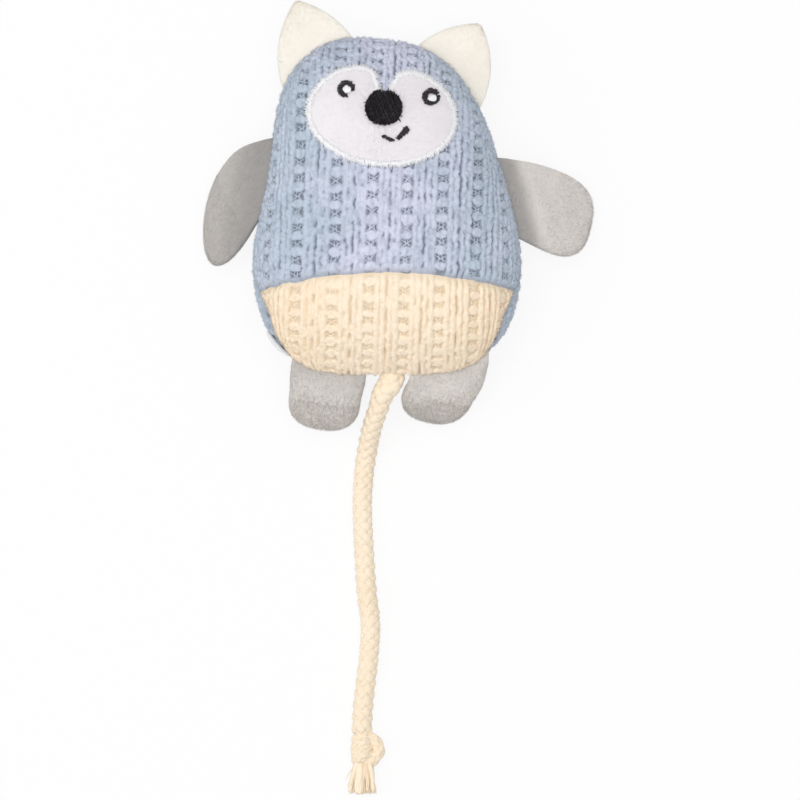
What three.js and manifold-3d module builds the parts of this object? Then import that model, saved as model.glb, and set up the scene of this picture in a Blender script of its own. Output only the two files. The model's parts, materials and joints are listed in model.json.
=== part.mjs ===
// Plush catnip toy: a stuffed knit body with an applique face, felt ears, plush arms and feet, and a
// knotted rope tail. It lies on its back, as it would on a table.
// Millimetres. The table is z = 0, the face looks up along +Z and the head points along +Y.
// The origin is on the flat of the back, under the middle of the body. Left is the viewer's left, -X.
import * as THREE from "three";
import { mergeVertices } from "three/addons/utils/BufferGeometryUtils.js";
import Module from "manifold-3d";

const wasm = await Module();
wasm.setup();
const { degToRad, lerp, smoothstep } = THREE.MathUtils;

// Body. A corner is a superellipse exponent: 2 is an ellipse, and more is boxier.
const bodyLength = 105.8;
const headWidth = 73;
const hipWidth = 86.4;
const taperStart = -22; // the sides draw in from the hips here
const taperEnd = 20; // and reach the head's width here
const headCorner = 2.5;
const tailCorner = 3.5;
const domeCorner = 2.4;
const frontSwell = 25; // from the side seam to the top of the belly
const backSwell = 21.5;
const restFlat = 1.5; // how far the stuffed back is pressed flat by lying on it
const headShift = -2; // the head leans a little to one side
const headTilt = 6; // degrees
const leanLength = 40; // over which the lean comes in, up from the middle

// Cloth and sewing
const fabricThickness = 2.2;
const sewGap = 0.3; // clearance between pieces that are sewn or glued together
const seamAllowance = 5;
const seamPly = 1.5; // thickness of each turned-in edge
const seamThreadRadius = 0.5;
const seamThreadRoom = 1.5; // the filling stays this far from the thread
const bellySeamDrop = 22.2; // the seam of the pale belly, below the body's middle
const bellySeamSag = 6.2; // how much lower that seam is at the hips
const sideSeamRise = 7.5; // the back panel wraps onto the front at the lower sides
const sideSeamDrop = 37.4; // where it does so most, below the body's middle
const sideSeamSpread = 13;
const sideSeamFade = [0.25, 0.5]; // shares of the half width over which the wrap comes in

// Rib knit of the front: furrows between pairs of ribs, where the yarn runs in a ladder
const ladderPlaces = [-28.5, -16.2, -4.5, 6.6, 17.8, 29]; // where each crosses the body's middle
const ladderSlant = 0.035; // they lean to the right towards the head
const ladderWidth = 3.2;
const ladderDepth = 0.9;
const ladderStop = 4; // a ladder ends this far above the side seam

// Catnip pouch in the middle of the stuffing
const pouchWidth = 22;
const pouchLength = 30;
const pouchSwell = 5;
const pouchCloth = 0.6;
const pouchCorner = 3;

// Face
const faceDrop = 24.7; // from the crown to the middle of the face patch
const faceWidth = 47.3;
const faceHeight = 32.4;
const faceTurn = -5.5; // degrees
const browSlotDepth = 7; // the slot over the nose, between the two lobes of the patch
const browSlotSpread = 14.5; // degrees
const browDipDepth = 4.5; // the wider dip that rounds the lobes off beside the slot
const browDipSpread = 22; // degrees
const patchThickness = 1.2;
const borderWidth = 2.2;
const borderOverhang = 0.6; // how far the border reaches past the patch's cut edge
const borderHeight = 1.7;
const stitchHeight = 0.9;
const eyeRadius = 2.8;
const pupilHole = 1.4;
const leftEye = [-12, 6.9];
const rightEye = [15.1, 7];
const noseWidth = 12;
const noseHeight = 10.8;
const noseCorner = 2.3;
const noseDraw = 0.18; // how much narrower it is towards the mouth
const nosePlace = [0.4, 2.1];
const noseStandOff = 1.5;
const mouthCorner = [1.1, -7];
const mouthMiddle = [4.1, -8.1];
const cheekStart = [5.9, -7.2];
const cheekEnd = [8.5, -3.9];
const lowerLipStitch = 1.4;
const cheekStitch = 1.7;
const stitchShoulder = 0.7; // height of a stitched band's rounded edges, as a share of its full height
const stitchRound = 0.85; // how far a stitched mound comes down at its edge: 1 is to nothing

// Ears and limbs. A root is the stretch of the body's outline, in degrees, where the piece is sewn.
const hingeReach = 1.8; // the fold line of a sewn-on piece lies this far outside the seam
const hingeClearance = 0.8;
const felt = 1.8;
const earHeight = 19.5;
const leftEarTip = 4; // along the root, from its inner end to below the tip
const rightEarTip = 9;
const earInnerBulge = 2;
const earOuterBulge = 3.5;
const earRoot = [36.5, 72];
const plushPly = 0.8; // one ply at its sewn edge
const plushRamp = 9; // a limb reaches its full thickness this far from its fold line
const limbMiddle = 0.45; // the fullest part of a limb, as a share of its length
const limbTuck = 0.75; // how far a limb is cut in past its middle, to be trimmed along the body
const rightArm = { length: 30.6, width: 27.3, rootWidth: 22.4, corner: 2.9, rootCorner: 4, swell: 1.5 };
const leftArm = { length: 35.8, width: 24, rootWidth: 18.5, corner: 2.2, rootCorner: 4, swell: 1.5 };
const foot = { length: 21, width: 23.3, rootWidth: 25, corner: 2.05, rootCorner: 6, swell: 2.2 };
const limbs = [
  { name: "right_arm", cut: rightArm, root: [-10, 19], heading: -19.7, droop: 34.5 },
  { name: "left_arm", cut: leftArm, root: [157, 180], heading: 229, droop: 43 },
  { name: "left_foot", cut: foot, root: [232.5, 261], heading: 262.4, droop: 31 },
  { name: "right_foot", cut: foot, root: [278, 311], heading: 249, droop: 42 },
];

// Side label: a bare satin strip caught in the seam and bent round to the back
const labelStart = 221; // degrees round the body
const labelEnd = 231.5;
const labelThickness = 0.8;
const labelShares = [0.975, 0.93, 0.87]; // its run in under the body, as shares of the half width

// Tail
const tailExitX = 1.5;
const ropeRadius = 3.25;
const ropeClearance = 0.5;
// The rope's middle line from where it leaves the body: right, along, and height above the table as
// a share of the seam's height above the lying rope. It drops to the fold, where it meets the table.
const ropeDrop = [
  [-2.3, -6.6, 0.95],
  [-3.9, -11.2, 0.82],
  [-5.5, -15.6, 0.62],
  [-7.6, -24, 0.2],
];
const ropeFold = [-8.2, -27.5, 0.08];
const ropeLie = [
  [-9, -33.6, 0.006],
  [-9.5, -43.2, 0],
  [-9.2, -52.8, 0],
  [-8.7, -62.4, 0],
  [-8, -72, 0],
  [-6.9, -81.6, 0],
  [-7.3, -91.2, 0],
  [-8.4, -100.8, 0],
  [-9.4, -110.4, 0],
  [-9.6, -116.2, 0],
];
const strandRadius = 2.3; // the rope is pulled thinner in its knot
const knotTurns = 1.5;
const knotTwist = 1.5; // distance of each strand from the knot's middle line
const knotLength = 6;
const knotLoopReach = 5.4;
const knotLead = 2.6; // from the twist to each end of the knot
const tasselLength = 8.7;
const tasselNeck = 2.2;
const tasselFlare = 4.3;
const tasselTuck = 1; // the cut ends are hollow in the middle
const tasselLocks = 9;
const lockDepth = 0.28; // of the furrows between the locks, as a share of the radius

// Facets
const bodySegments = 36;
const bodyRings = 7;
const faceSegments = 44;
const limbSegments = 22;
const smallSegments = 14;
const threadSides = 5;
const ropeSides = 10;
const ballRings = 6;
const dropSteps = 10;
const lieSteps = 20;
const knotSegments = 28;
const knotRings = 18;
const knotSamples = 120;
const weldDistance = 1e-4;
const farAway = 400; // reach of the cutting solids
const cutterShares = [0, 0.3, 0.5, 0.65, 0.8, 0.95, 1.3]; // rings of a cutting solid, out past the body

const seamHeight = backSwell - restFlat;
const tau = 2 * Math.PI;
const flat = (x, y) => new THREE.Vector2(x, y);
const point = (x, y, z) => new THREE.Vector3(x, y, z);
const centre = flat(0, 0);

// Materials
function cloth(color, roughness = 0.95) {
  return new THREE.MeshStandardMaterial({ color, roughness, metalness: 0 });
}
const blueKnit = cloth(0xb9c7dc);
const creamKnit = cloth(0xf3e2c8);
const greyPlush = cloth(0xb9b6b4);
const creamFelt = cloth(0xf4efe4);
const whiteFleece = cloth(0xf1f0f3);
const whiteThread = cloth(0xfafafc, 0.6);
const blackThread = cloth(0x1d1b1d, 0.5);
const whiteSatin = cloth(0xfbfbfb, 0.45);
const cottonRope = cloth(0xf1e2c6);
const fibreFill = cloth(0xf7f7f5, 1);
const muslin = cloth(0xe8e2d0);
const driedHerb = cloth(0x7d8450, 1);

// Closed skin through rows of points. Columns run anticlockwise seen from the first row, a row of
// one point closes an end, and looped rows close on themselves.
function skin(rows, looped = false) {
  const count = Math.max(...rows.map((row) => row.length));
  const at = (r, c) => {
    const row = rows[r % rows.length];
    return row[row.length === 1 ? 0 : c % count];
  };
  const corners = [];
  const face = (a, b, c) => {
    if (!a.equals(b) && !b.equals(c) && !c.equals(a)) corners.push(a, b, c);
  };
  const spans = looped ? rows.length : rows.length - 1;
  for (let r = 0; r < spans; r++) {
    for (let c = 0; c < count; c++) {
      face(at(r, c), at(r + 1, c), at(r + 1, c + 1));
      face(at(r, c), at(r + 1, c + 1), at(r, c + 1));
    }
  }
  return mergeVertices(new THREE.BufferGeometry().setFromPoints(corners), weldDistance);
}

// Geometry to a solid that can be joined and cut, and back
function solid(geometry) {
  const bare = geometry.clone();
  bare.deleteAttribute("normal");
  bare.deleteAttribute("uv");
  const welded = mergeVertices(bare, weldDistance);
  const vertProperties = new Float32Array(welded.attributes.position.array);
  const triVerts = new Uint32Array(welded.index.array);
  return new wasm.Manifold(new wasm.Mesh({ numProp: 3, vertProperties, triVerts }));
}

function geometryOf(made) {
  const mesh = made.getMesh();
  const geometry = new THREE.BufferGeometry();
  geometry.setAttribute("position", new THREE.BufferAttribute(mesh.vertProperties, 3));
  geometry.setIndex(new THREE.BufferAttribute(mesh.triVerts, 1));
  return geometry;
}

function piece(parent, name, made, material) {
  const geometry = made.isBufferGeometry ? made : geometryOf(made);
  geometry.computeVertexNormals();
  const mesh = new THREE.Mesh(geometry, material);
  mesh.name = name;
  parent.add(mesh);
  return mesh;
}

const around = (count, make) => Array.from({ length: count }, (_, i) => make((tau * i) / count));

// Body form
function superellipse(angle, corner) {
  const c = Math.cos(angle);
  const s = Math.sin(angle);
  const size = (Math.abs(c) ** corner + Math.abs(s) ** corner) ** (1 / corner);
  return flat(c / size, s / size);
}

const endCorner = (y) => (y > 0 ? headCorner : tailCorner);
const halfWidth = (y) => lerp(hipWidth, headWidth, smoothstep(y, taperStart, taperEnd)) / 2;
const dome = (share) => Math.sqrt(Math.max(0, 1 - share ** domeCorner));
const leanAt = (y) => smoothstep(y, 0, leanLength);
const tiltSlope = Math.tan(degToRad(headTilt));

function lean(x, y) {
  return flat(x + headShift * leanAt(y), y - tiltSlope * x * leanAt(y));
}

function upright(place) {
  const back = place.clone();
  for (let step = 0; step < 6; step++) {
    const leaned = lean(back.x, back.y);
    back.add(place.clone().sub(leaned));
  }
  return back;
}

function bodyPlan(angle, share = 1, inset = 0) {
  const way = superellipse(angle, endCorner(Math.sin(angle)));
  const y = (bodyLength / 2 - inset) * share * way.y;
  const x = (halfWidth(y) - inset) * share * way.x;
  return lean(x, y);
}

const frontHeight = (share, inset) => seamHeight + (frontSwell - inset) * dome(share);
const backHeight = (share, inset) => Math.max(inset, seamHeight - (backSwell - inset) * dome(share));

function frontAt(place) {
  const { x, y } = upright(place);
  const corner = endCorner(y);
  const across = Math.abs(x / halfWidth(y)) ** corner;
  const along = Math.abs((2 * y) / bodyLength) ** corner;
  return frontHeight((across + along) ** (1 / corner), 0);
}

function bodyRow(share, inset, height) {
  if (share === 0) return [point(0, 0, height(0, centre))];
  return around(bodySegments, (angle) => {
    const place = bodyPlan(angle, share, inset);
    return point(place.x, place.y, height(share, place));
  });
}

// Rings lie close together near the seam, and one ring runs round the pressed flat.
const flatShare = (1 - (seamHeight / backSwell) ** 2) ** (1 / domeCorner);
const ringShares = (from, rings) => {
  const start = Math.asin(from);
  return Array.from({ length: rings }, (_, i) => Math.sin(lerp(start, Math.PI / 2, (i + 1) / rings)));
};
const frontShares = [0, ...ringShares(0, bodyRings)];
const backShares = [0, flatShare / 2, flatShare, ...ringShares(flatShare, bodyRings - 2)];

function bodySolid(inset) {
  const front = frontShares.map((share) => bodyRow(share, inset, (s) => frontHeight(s, inset)));
  const back = backShares.slice(0, -1).map((share) => bodyRow(share, inset, (s) => backHeight(s, inset)));
  return solid(skin([...front, ...back.reverse()]));
}

// The seam between front and back, and the space above it
function seamAt({ x, y }) {
  const along = Math.exp(-(((y + sideSeamDrop) / sideSeamSpread) ** 2));
  const across = smoothstep((2 * Math.abs(x)) / hipWidth, ...sideSeamFade);
  return seamHeight + sideSeamRise * along * across;
}

function aboveSeam(offset) {
  const height = (share, place) => seamAt(place) + offset;
  const seam = cutterShares.map((share) => bodyRow(share, 0, height));
  const lid = [0, cutterShares.at(-1)].map((share) => bodyRow(share, 0, () => farAway));
  return solid(skin([...lid, ...seam.reverse()]));
}

// Everything on the tail side of the belly seam
function bellySide(offset) {
  const outline = new THREE.Shape();
  outline.moveTo(-farAway, -farAway);
  outline.lineTo(farAway, -farAway);
  const reach = hipWidth / 2 + fabricThickness;
  const steps = 12;
  for (let i = 0; i <= steps; i++) {
    const x = lerp(reach, -reach, i / steps);
    const sag = bellySeamSag * ((2 * x) / hipWidth) ** 2;
    outline.lineTo(i === 0 ? farAway : i === steps ? -farAway : x, -bellySeamDrop - sag + offset);
  }
  return solid(new THREE.ExtrudeGeometry(outline, { depth: farAway, bevelEnabled: false }));
}

// Furrows of the knit, cut into the outside of the front
function ladders() {
  const reach = bodyLength / 2 + fabricThickness;
  const drift = ladderSlant * reach;
  const half = ladderWidth / 2;
  const strips = ladderPlaces.map((x) => {
    const tailEnd = [flat(x - drift - half, -reach), flat(x - drift + half, -reach)];
    const headEnd = [flat(x + drift + half, reach), flat(x + drift - half, reach)];
    const outline = new THREE.Shape([...tailEnd, ...headEnd]);
    return solid(new THREE.ExtrudeGeometry(outline, { depth: farAway, bevelEnabled: false }));
  });
  return wasm.Manifold.union(strips).subtract(bodySolid(ladderDepth)).intersect(aboveSeam(ladderStop));
}

const toy = new THREE.Group();

// Shell: two front panels and the back, with turned-in edges along the side seam
const outside = bodySolid(0);
const pastAllowance = fabricThickness + seamAllowance;
const allowanceHollow = bodySolid(pastAllowance);
const shellHollow = bodySolid(fabricThickness);
const frontShell = outside
  .subtract(shellHollow.intersect(aboveSeam(sewGap / 2 + seamPly)))
  .subtract(allowanceHollow)
  .subtract(ladders())
  .intersect(aboveSeam(sewGap / 2));
const backShell = outside
  .subtract(shellHollow.subtract(aboveSeam(-sewGap / 2 - seamPly)))
  .subtract(allowanceHollow)
  .subtract(aboveSeam(-sewGap / 2));
piece(toy, "front_panel", frontShell.subtract(bellySide(sewGap / 2)), blueKnit);
piece(toy, "belly_panel", frontShell.intersect(bellySide(-sewGap / 2)), creamKnit);
piece(toy, "back_panel", backShell, blueKnit);

// Seam thread, wound round the turned-in edges
const threadInset = pastAllowance + 2 * sewGap + seamThreadRadius;
function seamThread() {
  const onSeam = (angle) => {
    let place = bodyPlan(angle, 1, threadInset);
    for (let step = 0; step < 4; step++) {
      const rise = (seamAt(place) - seamHeight) / (frontSwell - threadInset);
      place = bodyPlan(angle, (1 - rise ** 2) ** (1 / domeCorner), threadInset);
    }
    return point(place.x, place.y, seamAt(place));
  };
  const rows = around(bodySegments, (angle) => {
    const middle = onSeam(angle);
    const outward = point(middle.x, middle.y, 0).normalize();
    return around(threadSides, (turn) => {
      const across = outward.clone().multiplyScalar(seamThreadRadius * Math.cos(turn));
      return middle.clone().add(across).setZ(middle.z + seamThreadRadius * Math.sin(turn));
    });
  });
  return skin(rows, true);
}
piece(toy, "seam_thread", seamThread(), blueKnit);

// Catnip pouch
function pouchSolid(inset) {
  const half = flat(pouchWidth / 2 - inset, pouchLength / 2 - inset);
  const row = (share, side) => {
    const height = seamHeight + side * (pouchSwell - inset) * dome(share);
    if (share === 0) return [point(0, 0, height)];
    return around(smallSegments, (angle) => {
      const way = superellipse(angle, pouchCorner).multiply(half).multiplyScalar(share);
      return point(way.x, way.y, height);
    });
  };
  const shares = [0, ...ringShares(0, 3)];
  const top = shares.map((share) => row(share, 1));
  const bottom = shares.slice(0, -1).map((share) => row(share, -1));
  return solid(skin([...top, ...bottom.reverse()]));
}
const pouchWall = pouchSolid(0).subtract(pouchSolid(pouchCloth));
piece(toy, "pouch_front", pouchWall.intersect(aboveSeam(sewGap / 2)), muslin);
piece(toy, "pouch_back", pouchWall.subtract(aboveSeam(-sewGap / 2)), muslin);
piece(toy, "catnip", pouchSolid(pouchCloth + sewGap), driedHerb);

// Fibre filling, in a front and a back wad that meet at the seam and hold the pouch between them
const wad = bodySolid(fabricThickness + sewGap);
const wadCore = bodySolid(threadInset + seamThreadRadius + seamThreadRoom);
const pouchRoom = pouchSolid(-sewGap);
const edgeRoom = seamPly + 1.5 * sewGap;
const frontWad = wad.intersect(aboveSeam(edgeRoom)).add(wadCore.intersect(aboveSeam(sewGap / 2)));
const backWad = wad.subtract(aboveSeam(-edgeRoom)).add(wadCore.subtract(aboveSeam(-sewGap / 2)));
piece(toy, "front_filling", frontWad.subtract(pouchRoom), fibreFill);
piece(toy, "back_filling", backWad.subtract(pouchRoom), fibreFill);

// Face. Places on it are given from the middle of the patch, before the face is turned.
const faceMiddle = lean(0, bodyLength / 2 - faceDrop);
const faceAngle = degToRad(faceTurn);

function onFace(place, height) {
  const turned = place.clone().rotateAround(flat(0, 0), faceAngle).add(faceMiddle);
  return point(turned.x, turned.y, frontAt(turned) + height);
}

// A layer over the front, from a plan round its own middle: low is its underside, and high gives its
// top by share of the way out from the middle
function layer(middle, segments, plan, shares, low, high) {
  const row = (share, height) => {
    if (share === 0) return [onFace(middle, height)];
    return around(segments, (angle) => onFace(plan(angle).multiplyScalar(share).add(middle), height));
  };
  const top = [0, ...shares].map((share) => row(share, high(share)));
  const bottom = [0, ...shares].map((share) => row(share, low));
  return skin([...top, ...bottom.reverse()]);
}

// A band over the front that runs round a middle, with a rounded section
function band(middle, segments, inner, outer, low, high) {
  const shoulder = lerp(low, high, stitchShoulder);
  const section = [[0, low], [0, shoulder], [0.5, high], [1, shoulder], [1, low]];
  const rows = section.map(([share, height]) =>
    around(segments, (angle) => onFace(inner(angle).lerp(outer(angle), share).add(middle), height)),
  );
  return skin(rows, true);
}

function patchPlan(angle, grow) {
  const across = (2 * Math.cos(angle)) / faceWidth;
  const up = (2 * Math.sin(angle)) / faceHeight;
  const turn = angle - Math.PI / 2;
  const slot = browSlotDepth * Math.exp(-((turn / degToRad(browSlotSpread)) ** 6));
  const dip = browDipDepth * Math.exp(-((turn / degToRad(browDipSpread)) ** 2));
  const radius = 1 / Math.hypot(across, up) - slot - dip + grow;
  return flat(radius * Math.cos(angle), radius * Math.sin(angle));
}

const patchTop = sewGap + patchThickness;
const stitchBase = patchTop + sewGap;
const stitchTop = stitchBase + stitchHeight;
const borderInner = borderOverhang - borderWidth;
const borderTop = sewGap + borderHeight;
const patchEdge = (angle) => patchPlan(angle, borderInner - sewGap);
const patchShares = [0.35, 0.7, 1];
const patch = layer(centre, faceSegments, patchEdge, patchShares, sewGap, () => patchTop);
piece(toy, "face_patch", patch, whiteFleece);

// Embroidery on the patch: flat round rings, and mounds that come down towards their edges
const disc = (radius) => (angle) => flat(radius * Math.cos(angle), radius * Math.sin(angle));
const mound = (height) => (share) => stitchBase + height * Math.sqrt(1 - stitchRound * share ** 2);
for (const [side, place] of [["left", leftEye], ["right", rightEye]]) {
  const eye = flat(...place);
  const ring = band(eye, smallSegments, disc(pupilHole), disc(eyeRadius), stitchBase, stitchTop);
  const glintEdge = disc(pupilHole - sewGap);
  const glint = layer(eye, smallSegments, glintEdge, [1], stitchBase, mound(stitchHeight));
  piece(toy, `${side}_eye_ring`, ring, blackThread);
  piece(toy, `${side}_eye_glint`, glint, whiteThread);
}

function noseEdge(angle) {
  const place = superellipse(angle, noseCorner).multiply(flat(noseWidth / 2, noseHeight / 2));
  const draw = 1 - noseDraw * smoothstep(-place.y, 0, noseHeight / 2);
  return place.setX(place.x * draw);
}
const noseShares = [0.4, 0.75, 1];
const nose = layer(flat(...nosePlace), smallSegments, noseEdge, noseShares, stitchBase, mound(noseStandOff));
piece(toy, "nose", nose, blackThread);

// Border of the patch. It opens at the nose, which covers its two ends.
const noseRim = (angle) => noseEdge(angle).setLength(noseEdge(angle).length() + sewGap);
const insideEdge = (angle) => patchPlan(angle, borderInner);
const outsideEdge = (angle) => patchPlan(angle, borderOverhang);
const border = band(centre, faceSegments, insideEdge, outsideEdge, sewGap, borderTop);
const noseRoom = layer(flat(...nosePlace), smallSegments, noseRim, [1], 0, () => stitchTop);
piece(toy, "face_border", solid(border).subtract(solid(noseRoom)), whiteThread);

function mouthStroke(from, to, width) {
  const start = flat(...from);
  const end = flat(...to);
  const middle = start.clone().lerp(end, 0.5);
  const reach = end.clone().sub(middle);
  const heading = reach.angle();
  const plan = (angle) => {
    const side = Math.cos(angle) > 0 ? 1 : -1;
    return disc(width / 2)(angle + heading).add(reach.clone().multiplyScalar(side));
  };
  return layer(middle, smallSegments, plan, [1], stitchBase, mound(stitchHeight));
}
piece(toy, "mouth_stitch", mouthStroke(mouthCorner, mouthMiddle, lowerLipStitch), blackThread);
piece(toy, "cheek_stitch", mouthStroke(cheekStart, cheekEnd, cheekStitch), blackThread);

// A fold line along a stretch of the body's outline, just outside it. In its group x points out from
// the body, y runs anticlockwise along the outline and z is up.
function foldLine([from, to]) {
  const steps = 12;
  const angles = Array.from({ length: steps + 1 }, (_, i) => degToRad(lerp(from, to, i / steps)));
  const outline = angles.map((angle) => bodyPlan(angle));
  const first = outline[0];
  const along = outline[steps].clone().sub(first);
  const out = flat(along.y, -along.x).normalize();
  const rise = Math.max(...outline.map((place) => place.clone().sub(first).dot(out)));
  const middle = first.clone().addScaledVector(along, 0.5);
  const pivot = middle.addScaledVector(out, rise + hingeReach);
  const group = new THREE.Group();
  group.position.set(pivot.x, pivot.y, seamHeight);
  group.rotation.z = out.angle();
  group.updateMatrix();
  return { group, turn: out.angle(), chord: along.length(), depth: rise + hingeReach };
}

// Trims a sewn-on piece, lying flat in its fold line's group, to clear the body all round.
const clearance = bodySolid(-hingeClearance);
function clearOfBody(made, group) {
  const body = geometryOf(clearance).applyMatrix4(group.matrix.clone().invert());
  return made.subtract(solid(body));
}

// Ears, cut from felt. Side is 1 on the right and -1 on the left.
function ear(name, side, tipShift) {
  const root = side > 0 ? earRoot : [180 - earRoot[1], 180 - earRoot[0]];
  const { group, chord, depth } = foldLine(root);
  const inner = flat(-depth, (side * chord) / 2);
  const outer = flat(-depth, (-side * chord) / 2);
  const tip = flat(earHeight - depth, inner.y - side * tipShift);
  const control = (from, to, bulge) => {
    const way = to.clone().sub(from).normalize();
    return from.clone().lerp(to, 0.5).add(flat(-way.y, way.x).multiplyScalar(2 * side * bulge));
  };
  const innerEdge = control(inner, tip, earInnerBulge);
  const outerEdge = control(tip, outer, earOuterBulge);
  const outline = new THREE.Shape();
  outline.moveTo(inner.x, inner.y);
  outline.quadraticCurveTo(innerEdge.x, innerEdge.y, tip.x, tip.y);
  outline.quadraticCurveTo(outerEdge.x, outerEdge.y, outer.x, outer.y);
  const sheet = new THREE.ExtrudeGeometry(outline, { depth: felt, bevelEnabled: false, curveSegments: 8 });
  sheet.translate(0, 0, -felt / 2);
  piece(group, name, clearOfBody(solid(sheet), group), creamFelt);
  toy.add(group);
}
ear("left_ear", -1, leftEarTip);
ear("right_ear", 1, rightEarTip);

// Arms and feet, each sewn from two plies of plush and lightly filled
function limb({ name, cut, root, heading, droop }) {
  const { group, turn } = foldLine(root);
  const swing = degToRad(heading) - turn;
  const middle = flat(cut.length * limbMiddle, 0);
  const reach = (angle) => {
    const way = superellipse(angle, Math.cos(angle) > 0 ? cut.corner : cut.rootCorner);
    const x = middle.x + way.x * cut.length * (way.x > 0 ? 1 - limbMiddle : limbTuck);
    const width = lerp(cut.rootWidth, cut.width, smoothstep(x, 0, middle.x));
    return flat(x, (way.y * width) / 2);
  };
  const row = (share, height) => {
    const place = (angle) => {
      const spot = reach(angle).sub(middle).multiplyScalar(share).add(middle).rotateAround(centre, swing);
      return point(spot.x, spot.y, height(share, spot.x));
    };
    return share === 0 ? [place(0)] : around(limbSegments, place);
  };
  const full = (share, out) => cut.swell * dome(share) * smoothstep(out, 0, plushRamp);
  for (const [ply, side] of [["front", 1], ["back", -1]]) {
    const outer = (share, out) => side * (sewGap / 2 + plushPly + full(share, out));
    const shares = [0, 0.5, 0.85, 1];
    const outerRows = shares.map((share) => row(share, outer));
    const innerRows = [1, 0].map((share) => row(share, () => (side * sewGap) / 2));
    const rows = [...outerRows, ...innerRows];
    const made = solid(skin(side > 0 ? rows : rows.reverse()));
    piece(group, `${name}_${ply}`, clearOfBody(made, group), greyPlush);
  }
  group.rotation.set(0, degToRad(droop), turn, "ZYX");
  toy.add(group);
}
limbs.forEach(limb);

// Side label
function label() {
  const steps = 4;
  const lip = [[0.996, frontHeight], [1, frontHeight]]; // it starts just over the seam
  const run = [...lip, ...labelShares.map((share) => [share, backHeight])];
  const line = (inset) => (angle) =>
    run.map(([share, height]) => {
      const place = bodyPlan(degToRad(angle), share, inset);
      return point(place.x, place.y, height(share, inset));
    });
  const rows = Array.from({ length: steps + 1 }, (_, i) => {
    const angle = lerp(labelStart, labelEnd, i / steps);
    return [...line(-sewGap)(angle), ...line(-sewGap - labelThickness)(angle).reverse()];
  });
  const middleOf = (row) => [row.reduce((sum, p) => sum.add(p), point(0, 0, 0)).divideScalar(row.length)];
  return skin([middleOf(rows[0]), ...rows, middleOf(rows[steps])]);
}
piece(toy, "side_label", label(), whiteSatin);

// Rope tail: it leaves the seam between the feet, drops to the table and lies along it
const exit = flat(tailExitX, -bodyLength / 2);
const ropePoint = ([right, along, lift]) =>
  point(exit.x + right, exit.y + along, lerp(ropeRadius, seamHeight, lift));

// A length of the rope with one ball end, where it turns
function ropeLength(path, steps) {
  const circle = new THREE.Shape(around(ropeSides, disc(ropeRadius)));
  const tube = new THREE.ExtrudeGeometry(circle, { steps, extrudePath: path, bevelEnabled: false });
  const ball = new THREE.SphereGeometry(ropeRadius, ropeSides, ballRings).translate(...path.getPoint(0));
  return solid(tube).add(solid(ball));
}

function jointGroup(parent, place) {
  const group = new THREE.Group();
  group.position.copy(place);
  parent.add(group);
  return group;
}
const moved = (geometry, by) => geometry.translate(-by.x, -by.y, -by.z);
const curve = (route) => new THREE.CatmullRomCurve3(route, false, "centripetal");

const rootPivot = point(exit.x, exit.y - ropeRadius - ropeClearance, seamHeight);
const swingPivot = ropePoint(ropeFold);
const dropPath = curve([rootPivot, ...ropeDrop.map(ropePoint), swingPivot]);
const dropShare = 1 - (ropeRadius + sewGap) / dropPath.getLength(); // it stops short of the ball end
const dropShares = Array.from({ length: dropSteps + 1 }, (_, i) => (dropShare * i) / dropSteps);
const dropRoute = dropShares.map((share) => dropPath.getPointAt(share));
const lieRoute = [swingPivot, ...ropeLie.map(ropePoint)];
const tailBase = jointGroup(toy, rootPivot);
const tailTip = jointGroup(tailBase, swingPivot.clone().sub(rootPivot));
const tailRoot = ropeLength(curve(dropRoute), dropSteps);
const tailRope = ropeLength(curve(lieRoute), lieSteps);
piece(tailBase, "tail_root", moved(geometryOf(tailRoot), rootPivot), cottonRope);
piece(tailTip, "tail_rope", moved(geometryOf(tailRope), swingPivot), cottonRope);

// Overhand knot: two strands wound round each other and joined by a loop
const knotTop = lieRoute.at(-1);
const knotHalf = knotLength / 2 + knotLead;
const knotMiddle = point(knotTop.x, knotTop.y - sewGap - knotHalf, knotTwist + strandRadius);

function knotRoute() {
  const steps = 12;
  const strand = (startTurn) =>
    Array.from({ length: steps + 1 }, (_, i) => {
      const turn = startTurn + (knotTurns * tau * i) / steps;
      const y = lerp(knotLength / 2, -knotLength / 2, i / steps);
      return point(knotTwist * Math.cos(turn), y, knotTwist * Math.sin(turn));
    });
  // The loop climbs back from the foot of the twist to its top, on one side
  const loop = [-1, -0.6, 0, 0.6, 1].map((share) => {
    const out = lerp(knotTwist, knotLoopReach, Math.cos(1.15 * share));
    return point(out, 0.57 * knotLength * share, 0);
  });
  const end = knotHalf - strandRadius;
  return [point(0, end, 0), ...strand(tau / 2), ...loop, ...strand(0), point(0, -end, 0)];
}

// The knot is drawn tight, so its skin is the outermost reach of its strand in each direction.
function knot() {
  const strand = curve(knotRoute()).getSpacedPoints(knotSamples);
  const reach = (way) => {
    const exits = strand.map((place) => {
      const along = place.dot(way);
      const room = strandRadius ** 2 - place.lengthSq() + along ** 2;
      return room > 0 ? along + Math.sqrt(room) : 0;
    });
    return Math.max(...exits);
  };
  const row = (tip) =>
    around(knotSegments, (angle) => {
      const across = Math.sin(tip);
      const way = point(across * Math.cos(angle), Math.cos(tip), -across * Math.sin(angle));
      return way.multiplyScalar(reach(way)).add(knotMiddle);
    });
  const rows = Array.from({ length: knotRings - 1 }, (_, i) => row((Math.PI * (i + 1)) / knotRings));
  const end = (side) => [point(0, side * reach(point(0, side, 0)), 0).add(knotMiddle)];
  return skin([end(1), ...rows, end(-1)]);
}
piece(tailTip, "tail_knot", moved(knot(), swingPivot), cottonRope);

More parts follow.
